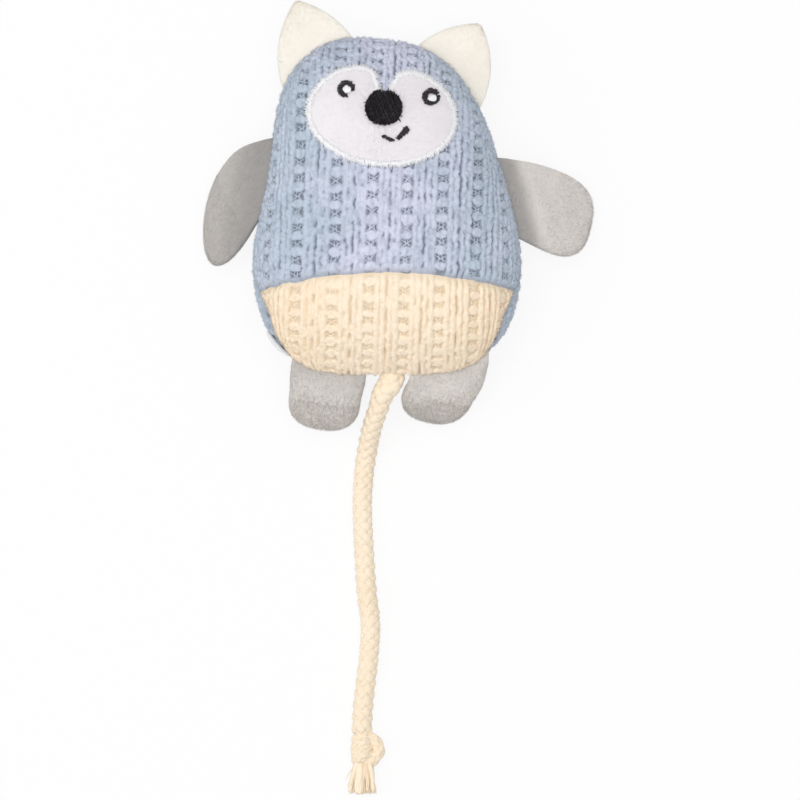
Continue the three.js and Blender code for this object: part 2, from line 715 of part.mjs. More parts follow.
// Frayed end: the strands open out below the knot
function tassel() {
  const top = knotMiddle.clone().setY(knotMiddle.y - knotHalf - sewGap);
  const row = (share) => {
    const radius = lerp(tasselNeck, tasselFlare, Math.sqrt(share));
    const middle = point(top.x, top.y - tasselLength * share, Math.max(top.z, radius));
    return around(4 * tasselLocks, (angle) => {
      const furrow = (1 - Math.cos(tasselLocks * angle)) / 2;
      const lobed = radius * (1 - lockDepth * share * furrow);
      return middle.clone().add(point(lobed * Math.cos(angle), 0, -lobed * Math.sin(angle)));
    });
  };
  const end = point(top.x, top.y - tasselLength + tasselTuck, Math.max(top.z, tasselFlare));
  return skin([[top], ...[0, 0.12, 0.4, 0.75, 1].map(row), [end]]);
}
piece(tailTip, "tail_tassel", moved(tassel(), swingPivot), cottonRope);

export default toy;
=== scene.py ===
"""Looks of a plush catnip toy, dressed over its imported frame.

Lengths are in millimetres until a mesh is made. The toy lies on its back on the floor, z = 0, with its
face looking up along +Z and its head along +Y. The forms follow the part's own sizes, apart from a few
that were fitted more closely to the photograph.
"""
import json
import math

import bpy
import numpy as np
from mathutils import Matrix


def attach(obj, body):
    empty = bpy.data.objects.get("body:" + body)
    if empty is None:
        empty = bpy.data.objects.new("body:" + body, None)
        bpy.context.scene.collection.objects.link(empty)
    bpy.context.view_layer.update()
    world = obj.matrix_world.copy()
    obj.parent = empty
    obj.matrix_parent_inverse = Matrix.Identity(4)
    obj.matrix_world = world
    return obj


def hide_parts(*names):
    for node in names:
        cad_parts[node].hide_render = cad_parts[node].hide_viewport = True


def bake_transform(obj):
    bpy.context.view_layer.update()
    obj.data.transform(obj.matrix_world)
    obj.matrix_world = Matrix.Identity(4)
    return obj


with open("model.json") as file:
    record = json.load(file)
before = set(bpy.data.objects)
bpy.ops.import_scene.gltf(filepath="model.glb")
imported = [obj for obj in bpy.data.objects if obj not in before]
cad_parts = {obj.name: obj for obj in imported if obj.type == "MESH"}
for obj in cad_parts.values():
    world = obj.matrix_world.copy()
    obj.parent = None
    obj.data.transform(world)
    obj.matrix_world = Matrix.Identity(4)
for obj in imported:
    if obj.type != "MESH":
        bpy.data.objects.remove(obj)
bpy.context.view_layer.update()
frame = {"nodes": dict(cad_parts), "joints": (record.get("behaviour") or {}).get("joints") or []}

MM = 0.001
UP = np.array([0, 0, 1.0])
SIDEWAYS = np.array([1.0, 0, 0])
STEEP = 0.9  # height of a unit way from which it counts as steep
FULL_TURN = 2 * np.pi
THIRDS = (0, 2.094, 4.189)  # of a full turn
CAP_REACH = 0.6  # how far a tube's cap stands out, as a share of its radius

# Photograph's frame
PHOTO_PIXELS = 800
PIXEL_SIZE = 0.32
VIEW_CENTRE = (4.16, -62.5)
CAMERA_HEIGHT = 2600
SENSOR = 36
FAR_CLIP = 20000

# Body form
BODY_LENGTH = 105.8
HEAD_WIDTH = 73
HIP_WIDTH = 86.4
TAPER = (-22, 20)
HEAD_CORNER = 2.5
TAIL_CORNER = 3.5
DOME_CORNER = 2.4
DOME_SLOPE = 1.3  # length over the dome for each length of its plan, near the rim
FRONT_SWELL = 25
BACK_SWELL = 21.5
SEAM_HEIGHT = 20
HEAD_SHIFT = -2
HEAD_TILT = 6
LEAN_LENGTH = 40
FLOOR_REST = 0.05

# Seams
BELLY_SEAM_DROP = 22.2
BELLY_SEAM_SAG = 6.2
BELLY_SEAM_WAVE = 0.35
SIDE_SEAM_RISE = 7.5
SIDE_SEAM_DROP = 34.5
SIDE_SEAM_SPREAD = 11.5
SIDE_SEAM_FADE = (0.25, 0.5)
SEAM_PINCH = 0.8
SEAM_PINCH_WIDTH = 1.7
SEAM_FLAT = 0.75
FOOT_OVERHANG = 1.5
OVERHANG_HEIGHT = 3
OVERHANG_SPREAD = 4
FOOT_ROOTS = (0.42, 0.48)  # shares of the body's length, from its middle

# Width of a fibre at its root
FIBRE = {"knit": 0.07, "fleece": 0.06, "felt": 0.05, "plush": 0.07, "cotton": 0.045}

# Rib knit of chenille yarn: a ladder of rungs and open mesh, then four strands with furrows between them
KNIT_REPEAT = 11.35
KNIT_ROW = 5.1
LADDER_PLACES = [-39, -28.5, -16.2, -4.5, 6.6, 17.8, 29, 39.2]
LADDER_HALF = 1.6
LADDER_SLANT = 0.035
STRAND = 2.05
FURROW = 0.42
BEAD = 2.4
RUNG_HALF = 1.75
MESH_DEPTH = 0.78
FRONT_KNIT = {"openness": 1.0, "roughness": 1.0}
BELLY_KNIT = {"openness": 0.75, "roughness": 0.25}
MESH_THREAD = 0.2
MESH_NET = [
    ((-1.8, -1.1), (1.8, 1.1)),
    ((-1.8, 1.1), (1.8, -1.1)),
    ((-0.5, -1.3), (-0.4, 1.3)),
    ((0.7, -1.3), (0.6, 1.3)),
]
WRAP_START = 0.85
FRONT_STEP = 0.32
BACK_STEP = 0.45
PANEL_STRETCH = 1.5  # length of a panel's grid for each length of its plan
FRONT_STRETCH = 1.45
KNIT_HAIR = (0.45, 0.95)
FRONT_HAIRS = 9000
BELLY_HAIRS = 6000
BACK_HAIRS = 9000
KNIT_UNDER_PATCH = -0.9

# Face. Heights are over the body's form.
FACE_DROP = 24.7
FACE_WIDTH = 47.3
FACE_HEIGHT = 32.4
FACE_TURN = -5.5
BROW_SLOT = (7, 14.5)  # depth, and half width in degrees
BROW_DIP = (4.5, 22)
PATCH_LIFT = 0.3
PATCH_THICKNESS = 1.2
PATCH_EDGE = -0.5
PATCH_SKIRT = -0.6
PATCH_GRID = (260, 46)
PATCH_FIBRES = 7000
PATCH_HAIR = (0.3, 0.6)
BORDER_STITCHES = 1000
BORDER_INNER = -0.9
BORDER_OUTER = 0.6
BORDER_ENDS = (1.55, 0.45)
BORDER_BOW = 0.5
BORDER_THREAD = 0.15
STITCH_RISE = 0.5
EYES = {"left": (-12, 6.9), "right": (15.1, 7)}
EYE_OPENING = {"left": (-45, 60), "right": (-50, 0)}  # its middle and how wide it is, in degrees
EYE_RADIUS = 2.8
EYE_INNER = 1.42
EYE_STITCHES = 44
EYE_HEIGHT = 1.75
EYE_THREAD = 0.23
GLINT_HALF = 1.15
GLINT_SHIFT = {"left": (0.15, -0.1), "right": (0.35, -0.35)}
GLINT_STITCHES = 9
GLINT_HEIGHT = 1.85
GLINT_RISE = 0.55
GLINT_THREAD = 0.2
NOSE_SIZE = (12, 10.8)
NOSE_PLACE = (0.4, 2.1)
NOSE_HEIGHT = 1.75
NOSE_MOUND = 1.25
NOSE_CORNER = 2.3
NOSE_LAYERS = ((40, 0.05, 0.0), (36, -0.45, 0.3), (30, 0.5, 0.45))  # stitches, tilt and lift of each
NOSE_ENDS = 260
NOSE_THREAD = 0.17
NOSE_END_THREAD = 0.13
MOUTH = ((1.1, -7), (4.1, -8.1))
MOUTH_WIDTH = 1.0
CHEEK = ((5.9, -7.2), (8.5, -3.9))
CHEEK_WIDTH = 1.6
STROKE_STEP = 0.26
STROKE_HEIGHT = 1.8
STROKE_THREAD = 0.24

# Ears
FELT = 1.8
EAR_HEIGHT = 19.5
EAR_ROOT = (36.5, 72)
EAR_BULGE = (2, 3.5)
EAR_BLUNT = 0.95
EAR_TIP = {"left": 4, "right": 9}
EAR_WIDER = {"left": 2.2, "right": 0}
EAR_RIM = 0.12
EAR_CUP = 0.9
EAR_GRID = (60, 64)
EAR_FIBRES = 3500
EAR_HAIR = (0.25, 0.6)
EAR_RIM_FIBRES = 600
EAR_RIM_HAIR = (0.2, 0.45)

# Arms and feet
LIMB_MIDDLE = 0.45
LIMB_TUCK = 1.1
LIMB_INSIDE = 6
LIMB_BEND = (-3.5, 0.8)
LIMB_TURNS = 190
LIMB_RINGS = 39
LIMB_HAIRS = {1: 14000, -1: 6000}  # on the upper and the lower ply
LIMB_REST = 0.02
CUT_ROUND = 1.3
RIM_GROOVE = 0.985
PLY_EDGE = 0.25
PLY = 0.8
ARM_PILE = {"shag": 0.05, "hair": (0.35, 0.75), "comb": None}
FOOT_PILE = {"shag": 0.035, "hair": (0.5, 1.1), "comb": (0.05, -1.0, 0)}
RIGHT_ARM = {
    "length": 30.6, "width": 27.3, "root": 22.4, "corner": 2.9, "root_corner": 4,
    "swell": 1.5, "slant": 0.6, "bow": 0, **ARM_PILE,
}
LEFT_ARM = {
    "length": 34.4, "width": 24.9, "root": 17.2, "corner": 1.95, "root_corner": 2.2,
    "swell": 1.5, "slant": 0.4, "bow": 10.7, **ARM_PILE,
}
FOOT = {
    "length": 20.3, "width": 23.3, "root": 25, "corner": 2.5, "root_corner": 6,
    "swell": 2.2, "slant": 0.6, "bow": 0, **FOOT_PILE,
}
# Cut, heading and droop in degrees; painted shade: grey at root and tip, and the share it fades over
LIMBS = {
    "right_arm": (RIGHT_ARM, -19.7, 34.5, (0.85, 0.25, 0.22)),
    "left_arm": (LEFT_ARM, 215, 43, (0.95, 0.6, 0.5)),
    "left_foot": (FOOT, 262.4, 31, (0.5, 0.0, 0.9)),
    "right_foot": (FOOT, 249, 42, (0.35, 0.0, 0.8)),
}

# Label caught in the side seam
LABEL_TURN = (221, 231.5)
LABEL_RUN = ((0.996, 1), (1, 1), (0.975, -1), (0.93, -1), (0.87, -1))  # share of the half width, and side
LABEL_GRID = (30, 26)
LABEL_OUTER = 0.85
LABEL_INNER = 0.45
LABEL_BOW = 0.9

# Tail. The route repeats the part's own: right and along from the exit, and a share of the seam's height.
ROPE_RADIUS = 3.25
ROPE_FLUFF = 1.05
ROPE_FLARE = 0.28
FLARE_FADE = (6, 22)
ROPE_STEPS = 330
ROPE_HAIRS = {"root": 800, "rope": 4400}
ROPE_HAIR = 1.1
ROPE_REST = 0.03
ROOT_INSIDE = 5
ROOT_LENGTH = 10.5
ROPE_EXIT = (1.5, -BODY_LENGTH / 2)
ROPE_ROUTE = [
    (0, 0, 1),
    (0, -3.75, 1),
    (-2.3, -6.6, 0.95),
    (-3.9, -11.2, 0.82),
    (-5.5, -15.6, 0.62),
    (-7.6, -24, 0.2),
    (-8.2, -27.5, 0.08),
    (-9, -33.6, 0.006),
    (-9.5, -43.2, 0),
    (-9.2, -52.8, 0),
    (-8.7, -62.4, 0),
    (-8, -72, 0),
    (-6.9, -81.6, 0),
    (-7.3, -91.2, 0),
    (-8.4, -100.8, 0),
    (-9.4, -110.4, 0),
    (-9.6, -116.2, 0),
]
BRAID_PITCH = 15
STRAND_SIDES = 10
# Shares of the rope's radius that place and size a strand, and of the pitch for the twist of its yarns
BRAID_OUT = 0.51
BRAID_WEAVE = 0.08
BRAID_WIDE = 0.46
BRAID_HIGH = 0.39
YARN_LOBE = 0.09
YARN_TWIST = 0.23
KNOT_PITCH = 12
KNOT_STRAND = 2.3
KNOT_TURNS = 1.5
KNOT_TWIST = 1.5
KNOT_LENGTH = 6
KNOT_LOOP = 5.4
KNOT_LEAD = 2.6
KNOT_HAIRS = 2000
KNOT_HAIR = 0.9
TASSEL_LENGTH = 8.7
TASSEL_HIDDEN = 1.2
TASSEL_REACH = TASSEL_LENGTH + TASSEL_HIDDEN
TASSEL_YARNS = 34
YARN_SPREAD = 0.8
YARN_FAN = (2.4, 1.7)
YARN_LIMIT = (3.9, 2.8)
YARN_RADIUS = (0.8, 0.6)
TASSEL_WISPS = 120
WISP_SPREAD = 0.9
WISP_FAN = 2.8
WISP_LIMIT = (4.6, 3)
WISP_RADIUS = 0.1
TASSEL_STRAY = [(-1.4, 0.4), (-2.6, -1.4), (-4.2, -3.4), (-5.4, -5.6)]

# Stage, in metres and watts: each lamp has its place, size and power
FLOOR_REACH = 6
FLOOR_GREY = 0.86
FLOOR_WHITE = 0.88
SKY_LIGHT = 0.5
LIGHT_AIM = (0, -0.02, 0.02)
LAMPS = {
    "key": ((-0.05, 0.08, 1.5), 1.2, 13),
    "fill": ((-0.9, -0.3, 1.0), 1.0, 3.5),
}

# Ladders counted across the body, carried on past the outermost ones at the same spacing
LADDER_COUNTS = [
    -(2 * HIP_WIDTH + LADDER_PLACES[0]) / KNIT_REPEAT,
    *range(len(LADDER_PLACES)),
    len(LADDER_PLACES) - 1 + (2 * HIP_WIDTH - LADDER_PLACES[-1]) / KNIT_REPEAT,
]

random = np.random.default_rng(31)
scene = bpy.context.scene


def placed(name, data):
    """A new object in the scene."""
    made = bpy.data.objects.new(name, data)
    scene.collection.objects.link(made)
    return made


# Camera, from straight above
def make_camera():
    data = bpy.data.cameras.new("camera")
    camera = placed("camera", data)
    data.sensor_width = SENSOR
    data.lens = SENSOR * CAMERA_HEIGHT / (PHOTO_PIXELS * PIXEL_SIZE)
    data.clip_end = FAR_CLIP * MM
    height = SEAM_HEIGHT + CAMERA_HEIGHT
    camera.location = (VIEW_CENTRE[0] * MM, VIEW_CENTRE[1] * MM, height * MM)
    scene.camera = camera


# Plain helpers
def smoothstep(value, low, high):
    t = np.clip((value - low) / (high - low), 0, 1)
    return t * t * (3 - 2 * t)


def mix(a, b, share):
    return a + (b - a) * share


def unit(vectors):
    return vectors / np.maximum(np.linalg.norm(vectors, axis=-1, keepdims=True), 1e-9)


def run_along(path):
    """Distance along a path at each of its points."""
    return np.concatenate([[0], np.cumsum(np.linalg.norm(np.diff(path, axis=0), axis=1))])


def turned(x, y, angle):
    """A place turned about the origin."""
    return x * math.cos(angle) - y * math.sin(angle), x * math.sin(angle) + y * math.cos(angle)


def hashed(x, y, seed):
    """A repeatable random value from 0 to 1 for each whole-numbered place."""
    n = (x * 374761393 + y * 668265263 + seed * 974634777) & 0xFFFFFFFF
    n = ((n ^ (n >> 13)) * 1274126177) & 0xFFFFFFFF
    return ((n ^ (n >> 16)) & 0xFFFF) / 65535


def noise(x, y, seed):
    """Smooth noise from -1 to 1, with bumps about one unit wide."""
    x, y = np.broadcast_arrays(np.asarray(x, float), np.asarray(y, float))
    ix = np.floor(x).astype(np.int64)
    iy = np.floor(y).astype(np.int64)
    fx = smoothstep(x - ix, 0, 1)
    fy = smoothstep(y - iy, 0, 1)
    low = mix(hashed(ix, iy, seed), hashed(ix + 1, iy, seed), fx)
    high = mix(hashed(ix, iy + 1, seed), hashed(ix + 1, iy + 1, seed), fx)
    return 2 * mix(low, high, fy) - 1


# Meshes. A shape is its points, its faces, and one number for each point that shades it.
def grid_faces(rows, columns, loop=False):
    """Quads over rows of points, facing the viewer when rows go up and columns go right."""
    last = columns if loop else columns - 1
    r, c = np.meshgrid(np.arange(rows - 1), np.arange(last), indexing="ij")
    here = r * columns + c
    beside = r * columns + (c + 1) % columns
    return np.stack([here, beside, beside + columns, here + columns], -1).reshape(-1, 4).tolist()


def flipped(faces):
    return [face[::-1] for face in faces]


def tube_faces(rings, sides):
    """Quads round a tube of rings, and triangles to the two end points that follow them."""
    first = rings * sides
    last = first - sides
    faces = grid_faces(rings, sides, loop=True)
    faces += [[first, (i + 1) % sides, i] for i in range(sides)]
    faces += [[first + 1, last + i, last + (i + 1) % sides] for i in range(sides)]
    return faces


def shape(points, faces, shade=0.0):
    """Shade is one number or one for each point."""
    points = np.asarray(points, float).reshape(-1, 3)
    return points, faces, np.broadcast_to(np.ravel(shade), (len(points),))


def joined(shapes):
    points, faces, shades, start = [], [], [], 0
    for some, theirs, shade in shapes:
        points.append(some)
        shades.append(shade)
        faces.extend([[i + start for i in face] for face in theirs])
        start += len(some)
    return np.concatenate(points), faces, np.concatenate(shades)


def rested(made, height):
    """A shape that is nowhere lower than a height over the floor."""
    points, faces, shade = made
    return np.column_stack([points[:, :2], np.maximum(points[:, 2], height)]), faces, shade


def make_piece(name, made, slot, *nodes):
    points, faces, shade = made
    mesh = bpy.data.meshes.new(name)
    mesh.from_pydata((points * MM).tolist(), [], faces)
    attribute = mesh.attributes.new("shade", "FLOAT", "POINT")
    attribute.data.foreach_set("value", np.asarray(shade, np.float32))
    mesh.polygons.foreach_set("use_smooth", np.full(len(mesh.polygons), True))
    mesh.update()
    piece = placed(name, mesh)
    mesh.materials.append(LOOKS[slot])
    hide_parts(*nodes)
    return piece


def frames_along(path):
    """Directions along a path, and two steady directions across it."""
    along = unit(np.gradient(path, axis=0))
    across = np.zeros_like(along)
    start = UP if abs(along[0, 2]) < STEEP else SIDEWAYS
    for i, way in enumerate(along):
        start = start - way * start.dot(way)
        start = start / np.linalg.norm(start)
        across[i] = start
    return along, across, np.cross(along, across)


def tube(path, radius, sides, shade=0.0):
    """A closed tube with pointed caps. Radius is one number or one for each point."""
    path = np.asarray(path, float)
    count = len(path)
    along, across, other = frames_along(path)
    radius = np.broadcast_to(np.asarray(radius, float), (count,))
    turn = np.arange(sides) * FULL_TURN / sides
    ring = across[:, None] * np.cos(turn)[None, :, None] + other[:, None] * np.sin(turn)[None, :, None]
    body = path[:, None] + ring * radius[:, None, None]
    first = path[0] - along[0] * radius[0] * CAP_REACH
    last = path[-1] + along[-1] * radius[-1] * CAP_REACH
    points = np.concatenate([body.reshape(-1, 3), first[None], last[None]])
    return shape(points, tube_faces(count, sides), shade)


def fibres(roots, ways, lengths, width, shade=0.0, bend=0.0):
    """Fine closed spikes, one for each root. Bend leans their tips sideways."""
    count = len(roots)
    ways = unit(ways)
    side = unit(np.cross(ways, np.where(np.abs(ways[:, 2:3]) < STEEP, UP, SIDEWAYS)))
    other = np.cross(ways, side)
    tips = roots + (ways + bend * side) * np.asarray(lengths).reshape(-1, 1)
    corners = [roots + width * (math.cos(a) * side + math.sin(a) * other) for a in THIRDS]
    points = np.stack([*corners, tips], 1).reshape(-1, 3)
    base = np.arange(count)[:, None, None] * 4
    faces = (base + np.array([[0, 1, 3], [1, 2, 3], [2, 0, 3], [0, 2, 1]])).reshape(-1, 3).tolist()
    return shape(points, faces, np.repeat(np.broadcast_to(shade, (count,)), 4))


def fuzz(points, count, way, spread, lengths, width, shade=0.0, bend=0.0):
    """Fibres on points picked at random, spread about a way, or one for each point. Shade may be a range."""
    picked = random.integers(0, len(points), count)
    ways = np.broadcast_to(way, points.shape)[picked] + random.normal(0, spread, (count, 3))
    lengths = random.uniform(*lengths, count)
    if isinstance(shade, tuple):
        shade = random.uniform(*shade, count)
    return fibres(points[picked], ways, lengths, width, shade, bend)


def smooth_path(points, count):
    """Evenly spaced points on a smooth curve through the given ones."""
    points = np.asarray(points, float)
    knots = run_along(points)
    slopes = np.gradient(points, knots, axis=0)
    at = np.linspace(0, knots[-1], 40 * len(points))
    i = np.clip(np.searchsorted(knots, at, side="right") - 1, 0, len(points) - 2)
    span = (knots[i + 1] - knots[i])[:, None]
    t = ((at - knots[i]) / span[:, 0])[:, None]
    dense = (
        (2 * t**3 - 3 * t**2 + 1) * points[i]
        + (t**3 - 2 * t**2 + t) * span * slopes[i]
        + (3 * t**2 - 2 * t**3) * points[i + 1]
        + (t**3 - t**2) * span * slopes[i + 1]
    )
    run = run_along(dense)
    even = np.linspace(0, run[-1], count)
    return np.stack([np.interp(even, run, dense[:, k]) for k in range(3)], 1)


# Materials
def linear(screen_colour):
    """A colour as it looks on screen, from 0 to 255, made linear."""
    values = np.array(screen_colour) / 255
    made = np.where(values <= 0.04045, values / 12.92, ((values + 0.055) / 1.055) ** 2.4)
    return (*made.tolist(), 1)


class Cloth:
    """A procedural cloth material, put together node by node."""

    def __init__(self, name, sheen=0.3, specular=0.2):
        self.material = bpy.data.materials.new(name)
        self.material.use_nodes = True
        self.tree = self.material.node_tree
        self.shader = self.tree.nodes["Principled BSDF"]
        self.shader.inputs["Specular IOR Level"].default_value = specular
        self.shader.inputs["Sheen Weight"].default_value = sheen
        self.shader.inputs["Sheen Roughness"].default_value = 0.5
        self.place = self.node("ShaderNodeTexCoord").outputs["Object"]

    def node(self, kind, **settings):
        made = self.tree.nodes.new(kind)
        for key, value in settings.items():
            setattr(made, key, value)
        return made

    def put(self, value, socket):
        """Links an output to a socket, or sets the socket to a number or a colour as seen on screen."""
        if isinstance(value, bpy.types.NodeSocket):
            self.tree.links.new(value, socket)
        else:
            socket.default_value = linear(value) if isinstance(value, tuple) else value

    def noise(self, size, detail=2.0, stretch=(1, 1, 1)):
        """Noise with features about size millimetres wide."""
        mapping = self.node("ShaderNodeMapping")
        self.put(self.place, mapping.inputs["Vector"])
        mapping.inputs["Scale"].default_value = stretch
        made = self.node("ShaderNodeTexNoise")
        self.put(mapping.outputs[0], made.inputs["Vector"])
        made.inputs["Scale"].default_value = 1 / (size * MM)
        made.inputs["Detail"].default_value = detail
        return made.outputs["Fac"]

    def spread(self, value, low, high, to_low=0.0, to_high=1.0):
        made = self.node("ShaderNodeMapRange")
        self.put(value, made.inputs["Value"])
        for key, number in zip(("From Min", "From Max", "To Min", "To Max"), (low, high, to_low, to_high)):
            made.inputs[key].default_value = number
        return made.outputs[0]

    def mixed(self, share, first, second):
        made = self.node("ShaderNodeMix", data_type="RGBA")
        self.put(share, made.inputs[0])
        self.put(first, made.inputs[6])
        self.put(second, made.inputs[7])
        return made.outputs[2]

    def finish(self, base, deep, grain, bump_height, gloss=(0.78, 0.98)):
        """Darkens the base where the mesh is shaded. The grain makes it rough and uneven."""
        shade = self.node("ShaderNodeAttribute", attribute_name="shade").outputs["Fac"]
        self.put(self.mixed(shade, base, deep), self.shader.inputs["Base Color"])
        self.put(self.spread(grain, 0.3, 0.7, *gloss), self.shader.inputs["Roughness"])
        bump = self.node("ShaderNodeBump")
        bump.inputs["Strength"].default_value = 0.5
        bump.inputs["Distance"].default_value = bump_height * MM
        self.put(grain, bump.inputs["Height"])
        self.put(bump.outputs[0], self.shader.inputs["Normal"])
        return self.material


def knit_material(name, middle, sides, deep):
    """Chenille, in one tint down the middle and another towards the sides."""
    cloth = Cloth(name)
    parts = cloth.node("ShaderNodeSeparateXYZ")
    cloth.put(cloth.place, parts.inputs[0])
    out = cloth.node("ShaderNodeMath", operation="ABSOLUTE")
    cloth.put(parts.outputs["X"], out.inputs[0])
    patches = cloth.spread(cloth.noise(14, 1), 0.3, 0.7, -0.35, 0.35)
    total = cloth.node("ShaderNodeMath", operation="ADD", use_clamp=True)
    cloth.put(cloth.spread(out.outputs[0], 0.004, 0.03), total.inputs[0])
    cloth.put(patches, total.inputs[1])
    yarn = cloth.noise(0.9, 3, (1, 0.6, 1))
    base = cloth.mixed(total.outputs[0], middle, sides)
    flecked = cloth.mixed(cloth.spread(yarn, 0.4, 0.75, 0, 0.2), base, deep)
    return cloth.finish(flecked, deep, yarn, 0.12)


def pile_material(name, light, dark, size, stretch=(1, 1, 1), deep=None):
    """Plush, felt and fleece: a fine mottle, and a deep colour that the mesh's painted shade darkens
    towards.
    """
    cloth = Cloth(name)
    broad = cloth.noise(9, 2)
    fine = cloth.noise(size, 3, stretch)
    base = cloth.mixed(cloth.spread(broad, 0.3, 0.7, 0, 0.6), light, dark)
    mottled = cloth.mixed(cloth.spread(fine, 0.35, 0.7, 0, 0.5), base, dark)
    return cloth.finish(mottled, deep or dark, fine, 0.08)


def thread_material(name, light, dark, sheen=0.1, size=0.25, specular=0.35):
    """Smooth twisted thread, glossier than the cloths."""
    cloth = Cloth(name, sheen, specular)
    twist = cloth.noise(size, 2)
    base = cloth.mixed(cloth.spread(twist, 0.35, 0.7), light, dark)
    return cloth.finish(base, dark, twist, 0.05, (0.4, 0.65))


LOOKS = {
    "blue_knit": knit_material("blue_chenille", (212, 215, 232), (189, 201, 215), (132, 140, 153)),
    "cream_knit": knit_material("cream_chenille", (250, 234, 212), (249, 231, 206), (221, 202, 172)),
    # The plush's deep colour is what the limbs' painted shade darkens towards
    "grey_plush": pile_material(
        "plush", (244, 238, 232), (228, 221, 215), 0.7, (1, 0.35, 1), deep=(150, 147, 145)
    ),
    "cream_felt": pile_material("felt", (248, 243, 233), (238, 231, 219), 0.6),
    "white_fleece": pile_material("fleece", (237, 233, 235), (227, 222, 226), 0.45),
    "white_thread": thread_material("white_floss", (255, 255, 255), (232, 232, 238)),
    "black_thread": thread_material("black_floss", (70, 64, 70), (3, 3, 3), 0.02, 0.5, 0.2),
    "white_satin": thread_material("satin", (255, 255, 255), (205, 205, 209)),
    "cotton_rope": pile_material("cotton", (254, 241, 220), (248, 229, 202), 0.4, deep=(221, 200, 169)),
    "fibre_fill": pile_material("filling", (250, 250, 248), (230, 230, 228), 1.5),
    "muslin": pile_material("cotton_muslin", (236, 229, 210), (214, 206, 184), 0.4),
    "dried_herb": pile_material("herb", (126, 132, 82), (84, 88, 50), 1.2),
    "blue_thread": thread_material("seam_floss", (184, 197, 220), (150, 164, 190)),
}


# Body form, which follows the part's
def superellipse(angle, corner):
    c, s = np.cos(angle), np.sin(angle)
    size = (np.abs(c) ** corner + np.abs(s) ** corner) ** (1 / corner)
    return c / size, s / size


def end_corner(y):
    return np.where(y > 0, HEAD_CORNER, TAIL_CORNER)


def half_width(y):
    return mix(HIP_WIDTH, HEAD_WIDTH, smoothstep(y, *TAPER)) / 2


def dome(share):
    return np.sqrt(np.clip(1 - np.abs(share) ** DOME_CORNER, 0, None))


def lean_share(y):
    return smoothstep(y, 0, LEAN_LENGTH)


def lean(x, y):
    slope = math.tan(math.radians(HEAD_TILT))
    return x + HEAD_SHIFT * lean_share(y), y - slope * x * lean_share(y)


def upright(x, y):
    back_x, back_y = np.array(x, float), np.array(y, float)
    for _ in range(6):
        there = lean(back_x, back_y)
        back_x = back_x + x - there[0]
        back_y = back_y + y - there[1]
    return back_x, back_y


def upright_plan(angle, share):
    way_x, way_y = superellipse(angle, end_corner(np.sin(angle)))
    y = BODY_LENGTH / 2 * share * way_y
    return half_width(y) * share * way_x, y


def body_point(angle, reach):
    """Reach is 0 at the top of the belly, 1 at the rim and 2 under the back."""
    share = np.sin(np.pi / 2 * np.where(reach <= 1, reach, 2 - reach))
    x, y = lean(*upright_plan(angle, share))
    swell = np.where(reach <= 1, FRONT_SWELL, -BACK_SWELL) * dome(share)
    return np.stack([x, y, np.maximum(SEAM_HEIGHT + swell, 0)], -1)


def front_height(x, y):
    x, y = upright(x, y)
    corner = end_corner(y)
    share = (np.abs(x / half_width(y)) ** corner + np.abs(2 * y / BODY_LENGTH) ** corner) ** (1 / corner)
    return SEAM_HEIGHT + FRONT_SWELL * dome(np.minimum(share, 1))


def seam_reach(angle):
    """How far down the front the side seam runs, as a reach."""
    share = np.ones_like(angle)
    for _ in range(5):
        x, y = lean(*upright_plan(angle, share))
        along = np.exp(-(((y + SIDE_SEAM_DROP) / SIDE_SEAM_SPREAD) ** 2))
        rise = SIDE_SEAM_RISE * along * smoothstep(2 * np.abs(x) / HIP_WIDTH, *SIDE_SEAM_FADE)
        share = (1 - (rise / FRONT_SWELL) ** 2) ** (1 / DOME_CORNER)
    return np.arcsin(share) * 2 / np.pi


def belly_seam(x):
    yarns = BELLY_SEAM_WAVE * noise(x / 2.1, 0 * x, 71)
    return yarns - BELLY_SEAM_DROP - BELLY_SEAM_SAG * (2 * x / HIP_WIDTH) ** 2


# Cloth coordinates: distances across and along the knit, as it lies over the stuffed form
def arc_table(ratio):
    """Extra length of a domed section over its flat width, by share of the half width."""
    q = np.sin(np.linspace(0, np.pi / 2, 4000))
    run = np.hypot(np.diff(q), ratio * np.diff(dome(q)))
    return q, np.concatenate([[0], np.cumsum(run)]) - q


def cloth_place(points, swell):
    """Across is 0 on a ladder and counts repeats of the knit in millimetres. Along is 0 at the middle."""
    x, y = upright(points[..., 0], points[..., 1])
    corner = end_corner(y)
    wide = half_width(y) * np.clip(1 - np.abs(2 * y / BODY_LENGTH) ** corner, 1e-4, 1) ** (1 / corner)
    long = BODY_LENGTH / 2 * np.clip(1 - np.abs(x / half_width(y)) ** corner, 1e-4, 1) ** (1 / corner)
    shares, extra = arc_table(2 * swell / HIP_WIDTH)
    plan = points[..., 0] - LADDER_SLANT * points[..., 1]
    repeats = np.interp(plan, [-2 * HIP_WIDTH, *LADDER_PLACES, 2 * HIP_WIDTH], LADDER_COUNTS)
    wrap = np.interp(np.minimum(np.abs(x) / wide, 1), shares, extra) - np.interp(WRAP_START, shares, extra)
    across = repeats * KNIT_REPEAT + np.sign(x) * wide * np.maximum(wrap, 0)
    rise = np.interp(np.minimum(np.abs(y) / long, 1), shares, extra) * HIP_WIDTH / BODY_LENGTH
    return across, y + np.sign(y) * long * rise


def knit_cell(u, v, seed):
    """Which ladder and row a place belongs to, and where it is from the middle of that rung."""
    column = np.floor(u / KNIT_REPEAT + 0.5)
    across = u - column * KNIT_REPEAT
    shift = 0.35 * KNIT_ROW * (hashed(column.astype(np.int64), np.zeros_like(column, np.int64), seed) - 0.5)
    drift = 0.35 * noise(column * 3.7, v / 9, seed + 1)
    row = np.floor((v + shift + drift) / KNIT_ROW + 0.5)
    return column, row, across, v + shift + drift - row * KNIT_ROW


